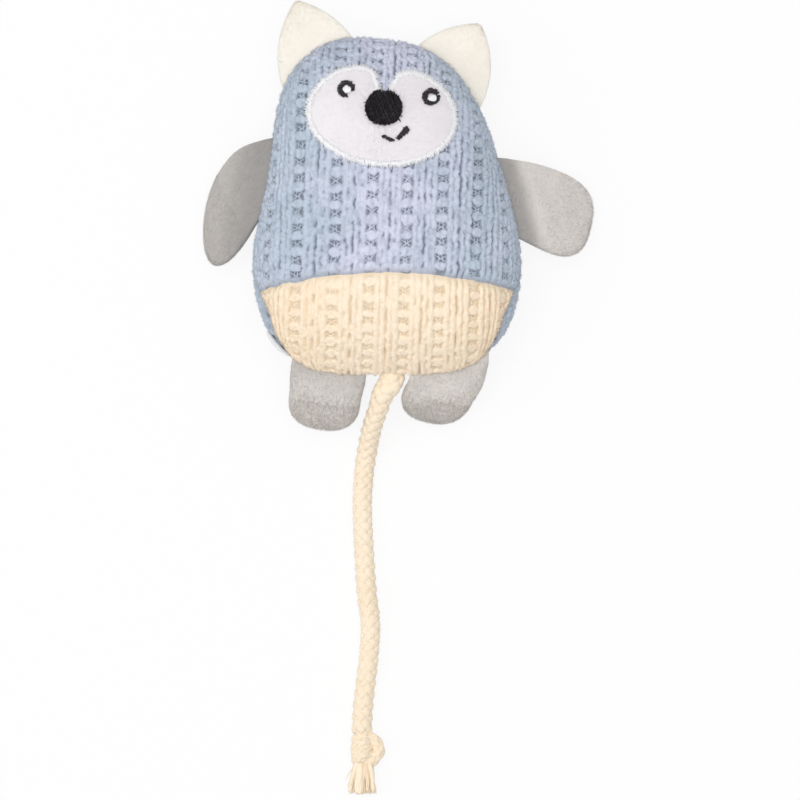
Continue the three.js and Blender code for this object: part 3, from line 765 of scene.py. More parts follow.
def knit(u, v, seed, openness, roughness):
    """Height of the knit over the form, and how deep in shade it is. Openness is 1 for ladders that gape."""
    column, row, across, climb = knit_cell(u, v, seed)
    side = np.sign(across)
    floor = -MESH_DEPTH * openness
    rung_half = RUNG_HALF * (0.85 + 0.35 * hashed(column.astype(np.int64), row.astype(np.int64), seed + 7))
    from_rung = np.hypot(across / (LADDER_HALF + 0.45), climb / rung_half)
    from_rung = from_rung + 0.2 * noise(u / 0.8, v / 0.8, seed + 14)
    rung = np.sqrt(np.clip(1 - from_rung**2, 0, 1))
    pad = floor + (0.1 - floor) * smoothstep(rung, 0, 0.6) + 0.3 * roughness * rung
    ragged = 0.3 * noise(across / 0.7 + column * 9, v / 0.7, seed + 2)
    edge = LADDER_HALF + 0.4 * rung + ragged
    in_ladder = 1 - smoothstep(np.abs(across), edge - 0.25, edge + 0.25)

    furrow = column + side / 2
    sway = 0.28 * noise(furrow * 7, v / 1.9, seed + 3) + 0.2 * noise(furrow * 13, v / 0.8, seed + 4)
    from_furrow = across - side * KNIT_REPEAT / 2 + sway * (0.4 + 0.6 * roughness)
    strand = furrow * 5 + 2 * np.sign(from_furrow)
    from_second = np.abs(from_furrow) - STRAND + 0.4 * roughness * noise(strand, v / 1.5, seed + 5)
    first_open = 0.45 + 0.85 * smoothstep(noise(furrow * 3.1, v / 2.2, seed + 6), -0.5, 0.5)
    second_open = 0.35 + 0.65 * smoothstep(noise(strand * 1.7, v / 2, seed + 8), -0.4, 0.6)
    rib = 0.5 - first_open * np.exp(-((from_furrow / FURROW) ** 2))
    rib = rib - second_open * np.exp(-((from_second / FURROW) ** 2))
    rib = rib - 0.6 * openness * (1 - rung) * np.exp(-(((np.abs(across) - edge) / 0.4) ** 2))
    climbed = v / BEAD + 0.35 * np.abs(from_furrow) / STRAND + 0.31 * strand
    bead = np.abs(np.sin(np.pi * (climbed + 0.5 * noise(strand * 2.3, v / 4, seed + 9))))
    rib = rib - 0.4 * roughness * (1 - bead) ** 2

    height = mix(rib, pad, in_ladder)
    fluff = 0.2 * noise(u / 1.0, v / 1.2, seed + 10) + 0.12 * noise(u / 0.5, v / 0.6, seed + 11)
    height = height + fluff * (0.25 + 0.75 * roughness)
    streaks = 0.3 * roughness * smoothstep(noise(u / 0.8, v / 3, seed + 13), 0, 0.8)
    return height, np.maximum(smoothstep(-height, -0.1, 0.9), streaks)


# Face plan, from the middle of the patch
FACE_MIDDLE = lean(0.0, BODY_LENGTH / 2 - FACE_DROP)


def patch_radius(angle, grow):
    across = 2 * np.cos(angle) / FACE_WIDTH
    up = 2 * np.sin(angle) / FACE_HEIGHT
    turn = np.mod(angle - np.pi / 2 + np.pi, FULL_TURN) - np.pi
    slot = BROW_SLOT[0] * np.exp(-((turn / math.radians(BROW_SLOT[1])) ** 6))
    dip = BROW_DIP[0] * np.exp(-((turn / math.radians(BROW_DIP[1])) ** 2))
    return 1 / np.hypot(across, up) - slot - dip + grow


def on_face(x, y, height):
    x, y = turned(x, y, math.radians(FACE_TURN))
    there_x, there_y = FACE_MIDDLE[0] + x, FACE_MIDDLE[1] + y
    return np.stack([there_x, there_y, front_height(there_x, there_y) + height], -1)


def under_patch(points):
    """How far a place is under the patch: 1 well inside its edge, 0 outside."""
    x, y = points[..., 0] - FACE_MIDDLE[0], points[..., 1] - FACE_MIDDLE[1]
    x, y = turned(x, y, math.radians(-FACE_TURN))
    inside = patch_radius(np.arctan2(y, x), 0) - np.hypot(x, y)
    return smoothstep(inside, -0.3, 1.2) * (points[..., 2] > SEAM_HEIGHT)


# Knit panels
def disc_place(s, t):
    """Polar place of a point of a square that is drawn round into a disc."""
    x = s * np.sqrt(1 - t * t / 2)
    y = t * np.sqrt(1 - s * s / 2)
    return np.arctan2(y, x), np.hypot(x, y)


def front_place(s, t):
    angle, radius = disc_place(s, t)
    return body_point(angle, radius * seam_reach(angle))


def back_place(s, t):
    angle, radius = disc_place(s, t)
    return body_point(angle, 2 - radius * (2 - seam_reach(angle)))


def belly_line(s):
    """Where the belly seam crosses each column of the front's grid."""
    low, high = np.full_like(s, -1.0), np.full_like(s, 1.0)
    for _ in range(30):
        middle = (low + high) / 2
        place = front_place(s, middle)
        above = place[:, 1] > belly_seam(place[:, 0])
        high = np.where(above, middle, high)
        low = np.where(above, low, middle)
    return (low + high) / 2


def level(height):
    """An edge of a panel's grid that is at one height in every column."""
    return lambda s: np.full_like(s, height)


def side_gap(s, t, base):
    """About how far a place of a panel is from the side seam."""
    return (1 - disc_place(s, t)[1]) * HIP_WIDTH / 2 * DOME_SLOPE


def seam_gap(s, t, base):
    """About how far a place of a panel is from the side seam or the belly seam."""
    return np.minimum(side_gap(s, t, base), DOME_SLOPE * np.abs(base[..., 1] - belly_seam(base[..., 0])))


def panel(low, high, rows, hairs, look, place_of, facing, swell, seed, seams, step):
    """Knit between two edges of a grid, with net threads in its ladders and loose fibres on its ribs."""
    columns = int(PANEL_STRETCH * HIP_WIDTH / step)
    s = np.linspace(-1, 1, columns)
    t = mix(low(s)[None], high(s)[None], np.linspace(0, 1, rows)[:, None])
    s = np.broadcast_to(s[None], t.shape)
    base = place_of(s, t)
    normal = facing * unit(np.cross(np.gradient(base, axis=1), np.gradient(base, axis=0)))
    u, v = cloth_place(base, swell)
    height, depth = knit(u, v, seed, **look)
    covered = under_patch(base)
    height = mix(height, KNIT_UNDER_PATCH, covered)
    near_seam = np.exp(-((seams(s, t, base) / SEAM_PINCH_WIDTH) ** 2))
    pinch = near_seam * (1 - over_feet(base))
    lift = height * (1 - SEAM_FLAT * near_seam) - SEAM_PINCH * pinch + overhang(base)
    points = base + normal * lift[..., None]
    points[..., 2] = np.maximum(points[..., 2], FLOOR_REST)
    faces = grid_faces(rows, columns)
    # Painted shade: the knit's own in its holes and furrows, and more along the seams where the cloth is
    # pinched
    shapes = [shape(points, faces if facing > 0 else flipped(faces), np.maximum(depth, 0.5 * pinch))]
    shapes += mesh_threads(base, normal, u, v, seed, covered + pinch)
    on_ribs = (height > -0.15) & (covered < 0.05) & (points[..., 2] > 1)
    loose = fuzz(points[on_ribs], hairs, normal[on_ribs], 0.55, KNIT_HAIR, FIBRE["knit"], (0, 0.12), 0.3)
    return joined([*shapes, loose])


def over_feet(base):
    """How far a place is at the tail end, over the roots of the feet: 0 to 1."""
    start, full = [share * BODY_LENGTH for share in FOOT_ROOTS]
    return smoothstep(-base[..., 1], start, full)


def overhang(base):
    """The stuffed belly bulges over the roots of the feet."""
    from_bulge = base[..., 2] - SEAM_HEIGHT - OVERHANG_HEIGHT
    return FOOT_OVERHANG * over_feet(base) * np.exp(-((from_bulge / OVERHANG_SPREAD) ** 2))


def mesh_threads(base, normal, u, v, seed, covered):
    """Fine threads that cross the open mesh in each gap between two rungs."""
    column, row, across, climb = knit_cell(u, v, seed)
    gap = np.abs(np.abs(climb) - KNIT_ROW / 2)
    near = np.flatnonzero((np.abs(across) < 0.35) & (gap < 0.35) & (covered < 0.3))
    gap_row = np.floor(2 * row.ravel()[near] + np.sign(climb.ravel()[near]))
    _, first = np.unique(np.stack([column.ravel()[near], gap_row], 1), axis=0, return_index=True)
    shapes = []
    for i in near[first]:
        up = normal.reshape(-1, 3)[i]
        right = unit(SIDEWAYS - up * up[0])
        along = np.cross(up, right)
        middle = base.reshape(-1, 3)[i] - up * 0.62 * MESH_DEPTH
        for thread in MESH_NET:
            ends = []
            for place in thread:
                far = np.array(place) + random.normal(0, 0.22, 2)
                ends.append(middle + right * far[0] + along * far[1] + up * random.uniform(-0.1, 0.1))
            bow = mix(*ends, 0.5) + up * random.uniform(0, 0.2) + right * random.normal(0, 0.15)
            shapes.append(tube([ends[0], bow, ends[1]], MESH_THREAD, 4, random.uniform(0, 0.2)))
    return shapes


def make_body():
    front = dict(place_of=front_place, facing=1, swell=FRONT_SWELL, seed=3, seams=seam_gap, step=FRONT_STEP)
    back = dict(place_of=back_place, facing=-1, swell=BACK_SWELL, seed=8, seams=side_gap, step=BACK_STEP)
    front_length = FRONT_STRETCH * (BODY_LENGTH / 2 + BELLY_SEAM_DROP)
    belly_length = PANEL_STRETCH * (BODY_LENGTH / 2 - BELLY_SEAM_DROP)
    back_length = PANEL_STRETCH * BODY_LENGTH
    top, bottom = level(1.0), level(-1.0)
    for node, slot, side, low, high, length, hairs, look in (
        ("front_panel", "blue_knit", front, belly_line, top, front_length, FRONT_HAIRS, FRONT_KNIT),
        ("belly_panel", "cream_knit", front, bottom, belly_line, belly_length, BELLY_HAIRS, BELLY_KNIT),
        ("back_panel", "blue_knit", back, bottom, top, back_length, BACK_HAIRS, FRONT_KNIT),
    ):
        made = panel(low, high, int(length / side["step"]), hairs, look, **side)
        piece = make_piece(f"{node}_knit", made, slot, node)
        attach(piece, "body")


# Face
def patch_piece():
    """Fleece in rings round the patch's middle, with a cut edge that goes down into the knit."""
    turns, rings = PATCH_GRID
    angle = np.linspace(0, FULL_TURN, turns, endpoint=False)
    share = np.linspace(0, 1, rings)[1:, None]
    radius = patch_radius(angle, PATCH_EDGE)[None] * share
    x, y = radius * np.cos(angle), radius * np.sin(angle)
    pile = 0.1 * noise(x / 1.1, y / 1.1, 21) + 0.06 * noise(x / 0.5, y / 0.5, 22)
    tuck = 0.15 * smoothstep(share, 0.93, 1)
    points = on_face(x, y, PATCH_LIFT + PATCH_THICKNESS + pile - tuck)
    middle = on_face(np.array([0.0]), np.array([0.0]), PATCH_LIFT + PATCH_THICKNESS)
    cut_edge = on_face(x[-1:], y[-1:], PATCH_SKIRT)
    sheet = np.concatenate([points, cut_edge]).reshape(-1, 3)
    cap = [[len(sheet), i, (i + 1) % turns] for i in range(turns)]
    top = shape(np.concatenate([sheet, middle]), grid_faces(rings, turns, True) + cap)
    return joined([top, fuzz(points.reshape(-1, 3), PATCH_FIBRES, UP, 0.7, PATCH_HAIR, FIBRE["fleece"])])


def stitch(places, height, rise, radius):
    """One thread between two places of the face, bowed up in the middle. Height is one number or two."""
    start, end = on_face(*np.transpose(places), height)
    path = mix(start, end, np.array([0, 0.15, 0.5, 0.85, 1])[:, None])
    path[:, 2] += np.array([0, 0.75, 1, 0.75, 0]) * rise
    return tube(path, radius, 5)


def in_nose(x, y):
    """1 on the outline of the nose, and less inside it."""
    return math.hypot(2 * (x - NOSE_PLACE[0]) / NOSE_SIZE[0], 2 * (y - NOSE_PLACE[1]) / NOSE_SIZE[1])


def patch_edge(angle):
    radius = patch_radius(angle, 0)
    return np.stack([radius * np.cos(angle), radius * np.sin(angle)], -1)


def border_piece():
    """Close stitches across the patch's edge, from on top of it to the knit outside."""
    fine = np.linspace(0, FULL_TURN, 6000)
    run = run_along(patch_edge(fine))
    even = np.linspace(0, run[-1], BORDER_STITCHES, endpoint=False)
    shapes = []
    for i, angle in enumerate(np.interp(even, run, fine)):
        place = patch_edge(angle)
        if in_nose(*place) < 1.1:
            continue
        ahead = patch_edge(angle + 0.002) - patch_edge(angle - 0.002)
        along = ahead / np.linalg.norm(ahead)
        out = np.array([along[1], -along[0]])
        slant = 0.3 * (1 if i % 2 else -1) + random.normal(0, 0.25)
        inner = place + out * (BORDER_INNER + random.normal(0, 0.25)) - along * slant
        outer = place + out * (BORDER_OUTER + random.normal(0, 0.3)) + along * slant
        bow = BORDER_BOW + random.normal(0, 0.08)
        shapes.append(stitch((inner, outer), BORDER_ENDS, bow, BORDER_THREAD))
    return joined(shapes)


def eye_ring(side):
    """Black stitches set round an eye, apart from its opening."""
    place = EYES[side]
    opening, width = map(math.radians, EYE_OPENING[side])
    shapes = []
    for turn in np.linspace(0, FULL_TURN, EYE_STITCHES, endpoint=False):
        off = abs(math.remainder(turn - opening, FULL_TURN))
        if off < width / 2:
            continue
        inner = EYE_INNER + random.normal(0, 0.16)
        outer = EYE_RADIUS - 0.3 * max(0, math.cos(off)) + random.normal(0, 0.13)
        ends = []
        for radius, shift in ((inner, -0.1), (outer, 0.1)):
            way = turn + shift + random.normal(0, 0.06)
            ends.append((place[0] + radius * math.cos(way), place[1] + radius * math.sin(way)))
        shapes.append(stitch(ends, EYE_HEIGHT, STITCH_RISE, EYE_THREAD))
    return joined(shapes)


def eye_glint(side):
    """White stitches side by side in the middle of an eye."""
    place, shift = EYES[side], GLINT_SHIFT[side]
    shapes = []
    for step in np.linspace(-GLINT_HALF, GLINT_HALF, GLINT_STITCHES):
        reach = math.sqrt(max(0.15, 1.6 - step * step)) + random.normal(0, 0.12)
        x, y = place[0] + shift[0] + step, place[1] + shift[1]
        shapes.append(stitch([(x, y - reach), (x, y + reach)], GLINT_HEIGHT, GLINT_RISE, GLINT_THREAD))
    return joined(shapes)


def nose_point(x, y, lift):
    """A place on the mound of the nose, from its middle."""
    x, y = NOSE_PLACE[0] + x, NOSE_PLACE[1] + y
    out = min(1, in_nose(x, y))
    return on_face(x, y, NOSE_HEIGHT + lift + NOSE_MOUND * math.sqrt(1 - 0.9 * out * out))


def nose_piece():
    """A mound of long black stitches in three crossing layers, with loose ends round its edge."""
    shapes = []
    half_wide, half_high = NOSE_SIZE[0] / 2, NOSE_SIZE[1] / 2
    for count, tilt, lift in NOSE_LAYERS:
        for step in np.linspace(-0.97, 0.97, count):
            high = (1 - abs(step) ** NOSE_CORNER) ** (1 / NOSE_CORNER)
            reach = 0.94 * half_high * high + random.normal(0, 0.25)
            points = []
            for share in (-1, -0.6, -0.2, 0.2, 0.6, 1):
                x, y = turned(step * half_wide, share * reach, tilt)
                points.append(nose_point(0.97 * x, y, lift + random.normal(0, 0.07)))
            shapes.append(tube(points, NOSE_THREAD, 5, 1 - random.uniform(0, 1) ** 2))
    for turn in random.uniform(0, FULL_TURN, NOSE_ENDS):
        way = np.array([math.cos(turn), math.sin(turn)])
        start = way * np.array([half_wide, half_high]) * random.uniform(0.5, 0.95)
        end = start + 0.7 * (way + random.normal(0, 0.6, 2)) * random.uniform(0.4, 1)
        middle = mix(start, end, 0.5)
        points = [nose_point(*start, 0.5), nose_point(*middle, 0.55), nose_point(*end, 0.15)]
        shapes.append(tube(points, NOSE_END_THREAD, 4, random.uniform(0, 1)))
    return joined(shapes)


def stroke_piece(line, width):
    """A short line of close cross stitches."""
    start, end = np.array(line[0]), np.array(line[1])
    length = np.linalg.norm(end - start)
    way = (end - start) / length
    side = np.array([-way[1], way[0]])
    shapes = []
    for share in np.linspace(-0.05, 1.05, int(length / STROKE_STEP) + 2):
        middle = mix(start, end, share)
        reach = width / 2 * (0.65 + 0.35 * np.clip(share, 0, 1)) + random.normal(0, 0.14)
        half = side * reach + way * random.normal(0.15, 0.2)
        shapes.append(stitch([middle - half, middle + half], STROKE_HEIGHT, STITCH_RISE, STROKE_THREAD))
    return joined(shapes)


def make_face():
    for node, ending, made, slot in (
        ("face_patch", "_fleece", patch_piece(), "white_fleece"),
        ("face_border", "_stitches", border_piece(), "white_thread"),
        ("left_eye_ring", "_stitches", eye_ring("left"), "black_thread"),
        ("right_eye_ring", "_stitches", eye_ring("right"), "black_thread"),
        ("left_eye_glint", "_stitches", eye_glint("left"), "white_thread"),
        ("right_eye_glint", "_stitches", eye_glint("right"), "white_thread"),
        ("nose", "_stitches", nose_piece(), "black_thread"),
        ("mouth_stitch", "es", stroke_piece(MOUTH, MOUTH_WIDTH), "black_thread"),
        ("cheek_stitch", "es", stroke_piece(CHEEK, CHEEK_WIDTH), "black_thread"),
    ):
        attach(make_piece(node + ending, made, slot, node), "body")


# Ears and limbs are laid out from their fold lines, which the frame's joints give
def fold_line(joint_name):
    joint = next(j for j in frame["joints"] if j["name"] == joint_name)
    pivot = np.array(joint["pos_m"]) / MM
    along = -np.array(joint["axis"])
    return pivot, unit(np.cross(along, UP)), unit(along)


def blend_at_fold(piece):
    """Bakes the piece's place into its mesh."""
    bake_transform(piece)


def ear_outline(side, sign, pivot, out):
    """Both edges of an ear up to its blunt tip, and its full tip: out from the fold line and along it."""
    turns = [math.radians(a if sign > 0 else 180 - a) for a in EAR_ROOT]
    ends = [body_point(np.array(a), np.array(1.0))[:2] for a in turns]
    half = np.linalg.norm(ends[1] - ends[0]) / 2
    depth = (pivot[:2] - ends[0]) @ out[:2]
    wider = EAR_WIDER[side]
    tip = np.array([EAR_HEIGHT - depth, sign * (half - EAR_TIP[side])])
    roots = [np.array([-depth - 0.7 * wider, sign * (half + wider)]), np.array([-depth, -sign * half])]
    t = np.linspace(0, EAR_BLUNT, EAR_GRID[0])[:, None]
    edges = []
    for root, bulge, turn in zip(roots, EAR_BULGE, (sign, -sign)):
        way = (tip - root) / np.linalg.norm(tip - root)
        control = mix(root, tip, 0.5) + np.array([-way[1], way[0]]) * 2 * turn * bulge
        edges.append((1 - t) ** 2 * root + 2 * t * (1 - t) * control + t**2 * tip)
    return *edges, tip


def ear_piece(side, sign):
    """Felt of two faces that meet in a round rim, cupped a little."""
    pivot, out, along = fold_line(f"{side}_ear_fold")
    first, second, tip = ear_outline(side, sign, pivot, out)
    rows, columns = EAR_GRID
    w = 0.5 - 0.5 * np.cos(np.pi * np.linspace(0, 1, columns))
    flat = first[:, None] * (1 - w)[None, :, None] + second[:, None] * w[None, :, None]
    climb = np.linspace(0, 1, rows)[:, None]
    rounding = smoothstep(climb, 0.75, 1) * 4 * w * (1 - w)
    flat = flat + 0.6 * rounding[..., None] * (tip - mix(first[-1], second[-1], 0.5))
    width = np.linalg.norm(first - second, axis=1)[:, None]
    from_edge = np.minimum(np.minimum(w, 1 - w)[None] * width, (1 - climb) * EAR_HEIGHT)
    thick = FELT / 2 * np.sqrt(np.clip(1 - (1 - np.minimum(from_edge / EAR_RIM, 1)) ** 2, 0, 1))
    far, aside = flat[..., 0], flat[..., 1]
    cup = EAR_CUP * smoothstep(far, 0, EAR_HEIGHT) + 0.3 * noise(far / 9, aside / 9, 40 + int(sign))
    felted = 0.07 * noise(far / 0.9, aside / 0.9, 41) * (thick > 0.2)
    middle = pivot + flat[..., :1] * out + flat[..., 1:] * along
    layers = {face: middle + (cup + face * (thick + felted))[..., None] * UP for face in (1, -1)}
    faces = grid_faces(rows, columns)
    shapes = [
        shape(layers[1], faces if sign < 0 else flipped(faces)),
        shape(layers[-1], flipped(faces) if sign < 0 else faces),
    ]
    for face, layer in layers.items():
        shapes.append(fuzz(layer.reshape(-1, 3), EAR_FIBRES, face * 0.6 * UP, 0.6, EAR_HAIR, FIBRE["felt"]))
    rim = np.concatenate([layers[1][:, 0], layers[1][:, -1]])
    outward = np.concatenate([first - second, second - first])
    outward = unit(outward[:, :1] * out + outward[:, 1:] * along)
    shapes.append(fuzz(rim, EAR_RIM_FIBRES, outward, 0.5, EAR_RIM_HAIR, FIBRE["felt"]))
    return joined(shapes), pivot, out


def make_ears():
    for side, sign in (("left", -1), ("right", 1)):
        made, pivot, out = ear_piece(side, sign)
        piece = make_piece(f"{side}_ear_felt", made, "cream_felt", f"{side}_ear")
        blend_at_fold(piece)


def limb_layout(cut, fold, heading, droop):
    """Gives the function that lays out a limb's rings, cut off at the root and bent down from the seam."""
    pivot, out, along = fold
    swing = math.remainder(heading - math.atan2(out[1], out[0]), FULL_TURN)
    middle = cut["length"] * LIMB_MIDDLE
    angle = np.linspace(0, FULL_TURN, LIMB_TURNS, endpoint=False)
    way_x, way_y = superellipse(angle, np.where(np.cos(angle) > 0, cut["corner"], cut["root_corner"]))
    edge_x = middle + way_x * (cut["length"] * np.where(way_x > 0, 1 - LIMB_MIDDLE, LIMB_TUCK))
    root_width = max(cut["root"], cut["width"])
    edge_y = way_y * mix(root_width, cut["width"], smoothstep(edge_x, 0, middle)) / 2

    def swung(x, y):
        """Out from the seam and along it, for a place of the limb's outline. A bowed limb bends sideways."""
        return turned(x, y + cut["bow"] * (np.maximum(x, 0) / cut["length"]) ** 2, swing)

    def inside_cut(x, y):
        """A limb that swings to one side is cut off on its other side, from the root's end at a slant."""
        x, y = swung(x, y)
        return cut["root"] / 2 + math.copysign(1, swing) * y - cut["slant"] * abs(math.sin(swing)) * x

    deep = inside_cut(middle, 0)
    past = CUT_ROUND * np.logaddexp(0, -inside_cut(edge_x, edge_y) / CUT_ROUND)
    kept = deep / (deep + past)
    edge_x = middle + (edge_x - middle) * kept
    edge_y = edge_y * kept

    def laid(share, height):
        """Places of a ring: share is 0 at the limb's middle and 1 at its edge."""
        x, y = swung(middle + (edge_x - middle) * share, edge_y * share)
        x = np.where(x < 0, LIMB_INSIDE * np.tanh(x / LIMB_INSIDE), x)
        bends = droop * smoothstep(x[..., None] * np.linspace(0, 1, 24), *LIMB_BEND)
        bent = droop * smoothstep(x, *LIMB_BEND)
        go = x * np.cos(bends).mean(-1) + height * np.sin(bent)
        place = pivot + go[..., None] * out + y[..., None] * along
        place[..., 2] += height * np.cos(bent) - x * np.sin(bends).mean(-1)
        return place, x, y, bent

    return laid


def limb_piece(name, cut, heading, droop, painted_shade):
    """A lightly stuffed limb of two plies with a pile of fibres, closed by a rim between the plies."""
    pivot, out, along = fold_line(f"{name}_flap")
    heading = math.radians(heading)
    laid = limb_layout(cut, (pivot, out, along), heading, math.radians(droop))
    share = np.sin(np.linspace(0, np.pi / 2, LIMB_RINGS + 1))[1:, None]
    _, x, y, bent = laid(share, np.zeros((LIMB_RINGS, LIMB_TURNS)))
    comb = np.array(cut["comb"] or (math.cos(heading), math.sin(heading), 0))
    comb_out, comb_along = comb @ out, comb @ along
    with_pile = x * comb_out + y * comb_along
    across_pile = -x * comb_along + y * comb_out
    root_painted_shade, tip_painted_shade, fade = painted_shade
    # Painted shade on the limb: darker at the root, where the body shades it, fading towards the tip
    tint = mix(root_painted_shade, tip_painted_shade, smoothstep(x, 0, fade * cut["length"]))
    round_edge = np.sqrt(np.clip(1 - np.clip((share - 0.9) / 0.1, 0, 1) ** 2, 0, 1))
    form = PLY_EDGE + PLY * round_edge + cut["swell"] * dome(share) * smoothstep(x, -3, 8)
    weight = np.broadcast_to(share * np.sqrt(1.02 - share**2), x.shape)
    cap = [[x.size, (i + 1) % LIMB_TURNS, i] for i in range(LIMB_TURNS)]
    faces = grid_faces(LIMB_RINGS, LIMB_TURNS, loop=True) + cap
    edges, shapes = [], []
    for face, hairs in LIMB_HAIRS.items():
        tufts = 0.7 * noise(across_pile / 0.5, with_pile / 2.2, 52)
        tufts = cut["shag"] * (noise(across_pile / 0.9, with_pile / 4.5, 50 + face) + tufts)
        place, *_ = laid(share, face * (form + tufts * (0.3 + 0.7 * round_edge)))
        place[..., 2] = np.maximum(place[..., 2], FLOOR_REST)
        edges.append(place[-1])
        centre, *_ = laid(np.array([[0.0]]), np.array([[face * (PLY_EDGE + PLY + cut["swell"])]]))
        points = np.concatenate([place.reshape(-1, 3), centre[0, :1]])
        # Painted shade: darker in the hollows between the tufts, on top of the limb's painted shade
        shade = np.append(tint + 0.1 * np.clip(-tufts * 6, 0, 1), tint.mean())
        shapes.append(shape(points, flipped(faces) if face > 0 else faces, shade))
        inside = np.flatnonzero((x > -2) & (place[..., 2] > 0.6))
        odds = weight.ravel()[inside]
        picked = random.choice(inside, hairs, p=odds / odds.sum())
        lean_down = bent.ravel()[picked][:, None]
        normal = face * (np.cos(lean_down) * UP + np.sin(lean_down) * out)
        lie = comb - normal * (normal @ comb)[:, None]
        ways = lie + 0.3 * normal + random.normal(0, 0.2, (hairs, 3))
        # Each hair takes the limb's painted shade where it grows, plus a random tone of its own
        hair_shade_and_tone = np.clip(tint.ravel()[picked] + random.uniform(-0.25, 0.15, hairs), 0, 1)
        lengths = random.uniform(*cut["hair"], hairs)
        shapes.append(fibres(points[picked] - 0.1 * normal, ways, lengths, FIBRE["plush"], hair_shade_and_tone, 0.1))
    groove, *_ = laid(np.array([[RIM_GROOVE]]), np.zeros((1, LIMB_TURNS)))
    rim = np.stack([edges[1], groove[0], edges[0]])
    # Painted shade: the rim is darker in the groove between the two plies
    rim_painted_shade = np.stack([tint[-1], np.minimum(tint[-1] + 0.3, 1), tint[-1]])
    shapes.append(shape(rim, grid_faces(3, LIMB_TURNS, loop=True), rim_painted_shade))
    return rested(joined(shapes), LIMB_REST), pivot, out


def make_limbs():
    for name, (cut, heading, droop, painted_shade) in LIMBS.items():
        made, pivot, out = limb_piece(name, cut, heading, droop, painted_shade)
        piece = make_piece(f"{name}_plush", made, "grey_plush", f"{name}_front", f"{name}_back")
        blend_at_fold(piece)


# Side label
def make_label():
    rows, columns = LABEL_GRID
    turns = np.radians(np.linspace(*LABEL_TURN, rows))
    run = []
    for share, side in LABEL_RUN:
        reach = np.arcsin(share) * 2 / np.pi
        run.append(reach if side > 0 else 2 - reach)
    down = np.linspace(0, 1, columns)
    across = np.linspace(0, 1, rows)[:, None]
    reaches = np.interp(down, np.linspace(0, 1, len(run)), run)
    base = body_point(turns[:, None], np.broadcast_to(reaches[None], LABEL_GRID))
    outward = unit(np.cross(np.gradient(base, axis=0), np.gradient(base, axis=1)))
    outward = outward * np.sign((outward * (base - SEAM_HEIGHT * UP)).sum(-1, keepdims=True))
    bow = LABEL_BOW * smoothstep(down, 0, 0.25) * (1 - smoothstep(down, 0.35, 0.9))
    wave = 0.12 * noise(np.arange(rows)[:, None] / 7, np.arange(columns)[None] / 8, 61)
    wave = bow * np.sin(np.pi * across) ** 0.6 + wave
    # Painted shade: a thin grey line round all of the label's edges
    painted_edge_shade = np.zeros(LABEL_GRID)
    painted_edge_shade[[0, -1]] = 1
    painted_edge_shade[:, [0, -1]] = 1
    faces = grid_faces(rows, columns)
    outer = shape(base + outward * (LABEL_OUTER + wave)[..., None], faces, painted_edge_shade)
    inner = shape(base + outward * (LABEL_INNER + wave)[..., None], flipped(faces), painted_edge_shade)
    points, faces, shade = joined([outer, inner])
    numbers = np.arange(rows * columns).reshape(LABEL_GRID)
    rim = np.concatenate([numbers[0], numbers[1:, -1], numbers[-1, -2::-1], numbers[-2:0:-1, 0]])
    after = np.roll(rim, -1)
    faces += np.stack([rim, after, after + numbers.size, rim + numbers.size], 1).tolist()
    piece = make_piece("side_label_tape", (points, faces, shade), "white_satin", "side_label")
    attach(piece, "body")


# Tail
def rope_point(right, along, lift):
    return (ROPE_EXIT[0] + right, ROPE_EXIT[1] + along, mix(ROPE_RADIUS, SEAM_HEIGHT, lift))


def braid(path, radius, pitch, flare=None, span=slice(None)):
    """Eight strands, four each way, that pass over and under each other along a span of a path."""
    run = run_along(path)
    _, across, other = frames_along(path)
    swell = np.ones(len(path)) if flare is None else flare
    shapes = []
    turn = np.arange(STRAND_SIDES) * FULL_TURN / STRAND_SIDES
    for hand in (1, -1):
        for strand in range(4):
            phase = hand * FULL_TURN * run / pitch + strand * np.pi / 2
            out = radius * swell * (BRAID_OUT + hand * BRAID_WEAVE * np.cos(8 * np.pi * run / pitch))
            radial = across * np.cos(phase)[:, None] + other * np.sin(phase)[:, None]
            line = path + radial * out[:, None]
            aside = unit(np.cross(unit(np.gradient(line, axis=0)), radial))
            lobes = 1 + YARN_LOBE * np.cos(3 * turn[None] - FULL_TURN * run[:, None] / (pitch * YARN_TWIST))
            wide = radius * swell[:, None] * BRAID_WIDE * lobes * np.cos(turn)[None]
            high = radius * swell[:, None] * BRAID_HIGH * lobes * np.sin(turn)[None]
            ring = line[:, None] + wide[..., None] * aside[:, None] + high[..., None] * radial[:, None]
            # Painted shade: darker on each strand's inner side, and on strands that lie further in, under
            # others
            under = -np.sin(turn)[None] * 0.6 + 0.2 - 0.5 * (out[:, None] / radius - 0.5)
            depth = 0.2 + 0.5 * np.clip(under, 0, 1)
            ring, line, depth = ring[span], line[span], depth[span]
            points = np.concatenate([ring.reshape(-1, 3), line[:1], line[-1:]])
            shapes.append(shape(points, tube_faces(len(line), STRAND_SIDES), np.append(depth, [0, 0])))
    return shapes


def cotton_piece(name, node, shapes, hairs, length):
    """Braided strands with fuzz on them, laid on the floor."""
    fluff = fuzz(joined(shapes)[0], hairs, 0, 1, (0.4 * length, length), FIBRE["cotton"], 0.15, 0.4)
    return make_piece(name, rested(joined([*shapes, fluff]), ROPE_REST), "cotton_rope", node)


def knot_route():
    """Two strands wound round each other and joined by a loop, from the knot's top to its foot."""
    turns = np.linspace(0, KNOT_TURNS * FULL_TURN, 13)
    places = np.linspace(KNOT_LENGTH / 2, -KNOT_LENGTH / 2, 13)

    def strand(start):
        ways = [(math.cos(start + turn), math.sin(start + turn)) for turn in turns]
        return [(KNOT_TWIST * x, y, KNOT_TWIST * z) for (x, z), y in zip(ways, places)]

    loop = []
    for share in (-1, -0.6, 0, 0.6, 1):
        loop.append((mix(KNOT_TWIST, KNOT_LOOP, math.cos(1.15 * share)), 0.57 * KNOT_LENGTH * share, 0))
    end = KNOT_LENGTH / 2 + KNOT_LEAD - KNOT_STRAND
    return [(0, end, 0), *strand(math.pi), *loop, *strand(0), (0, -end, 0)]


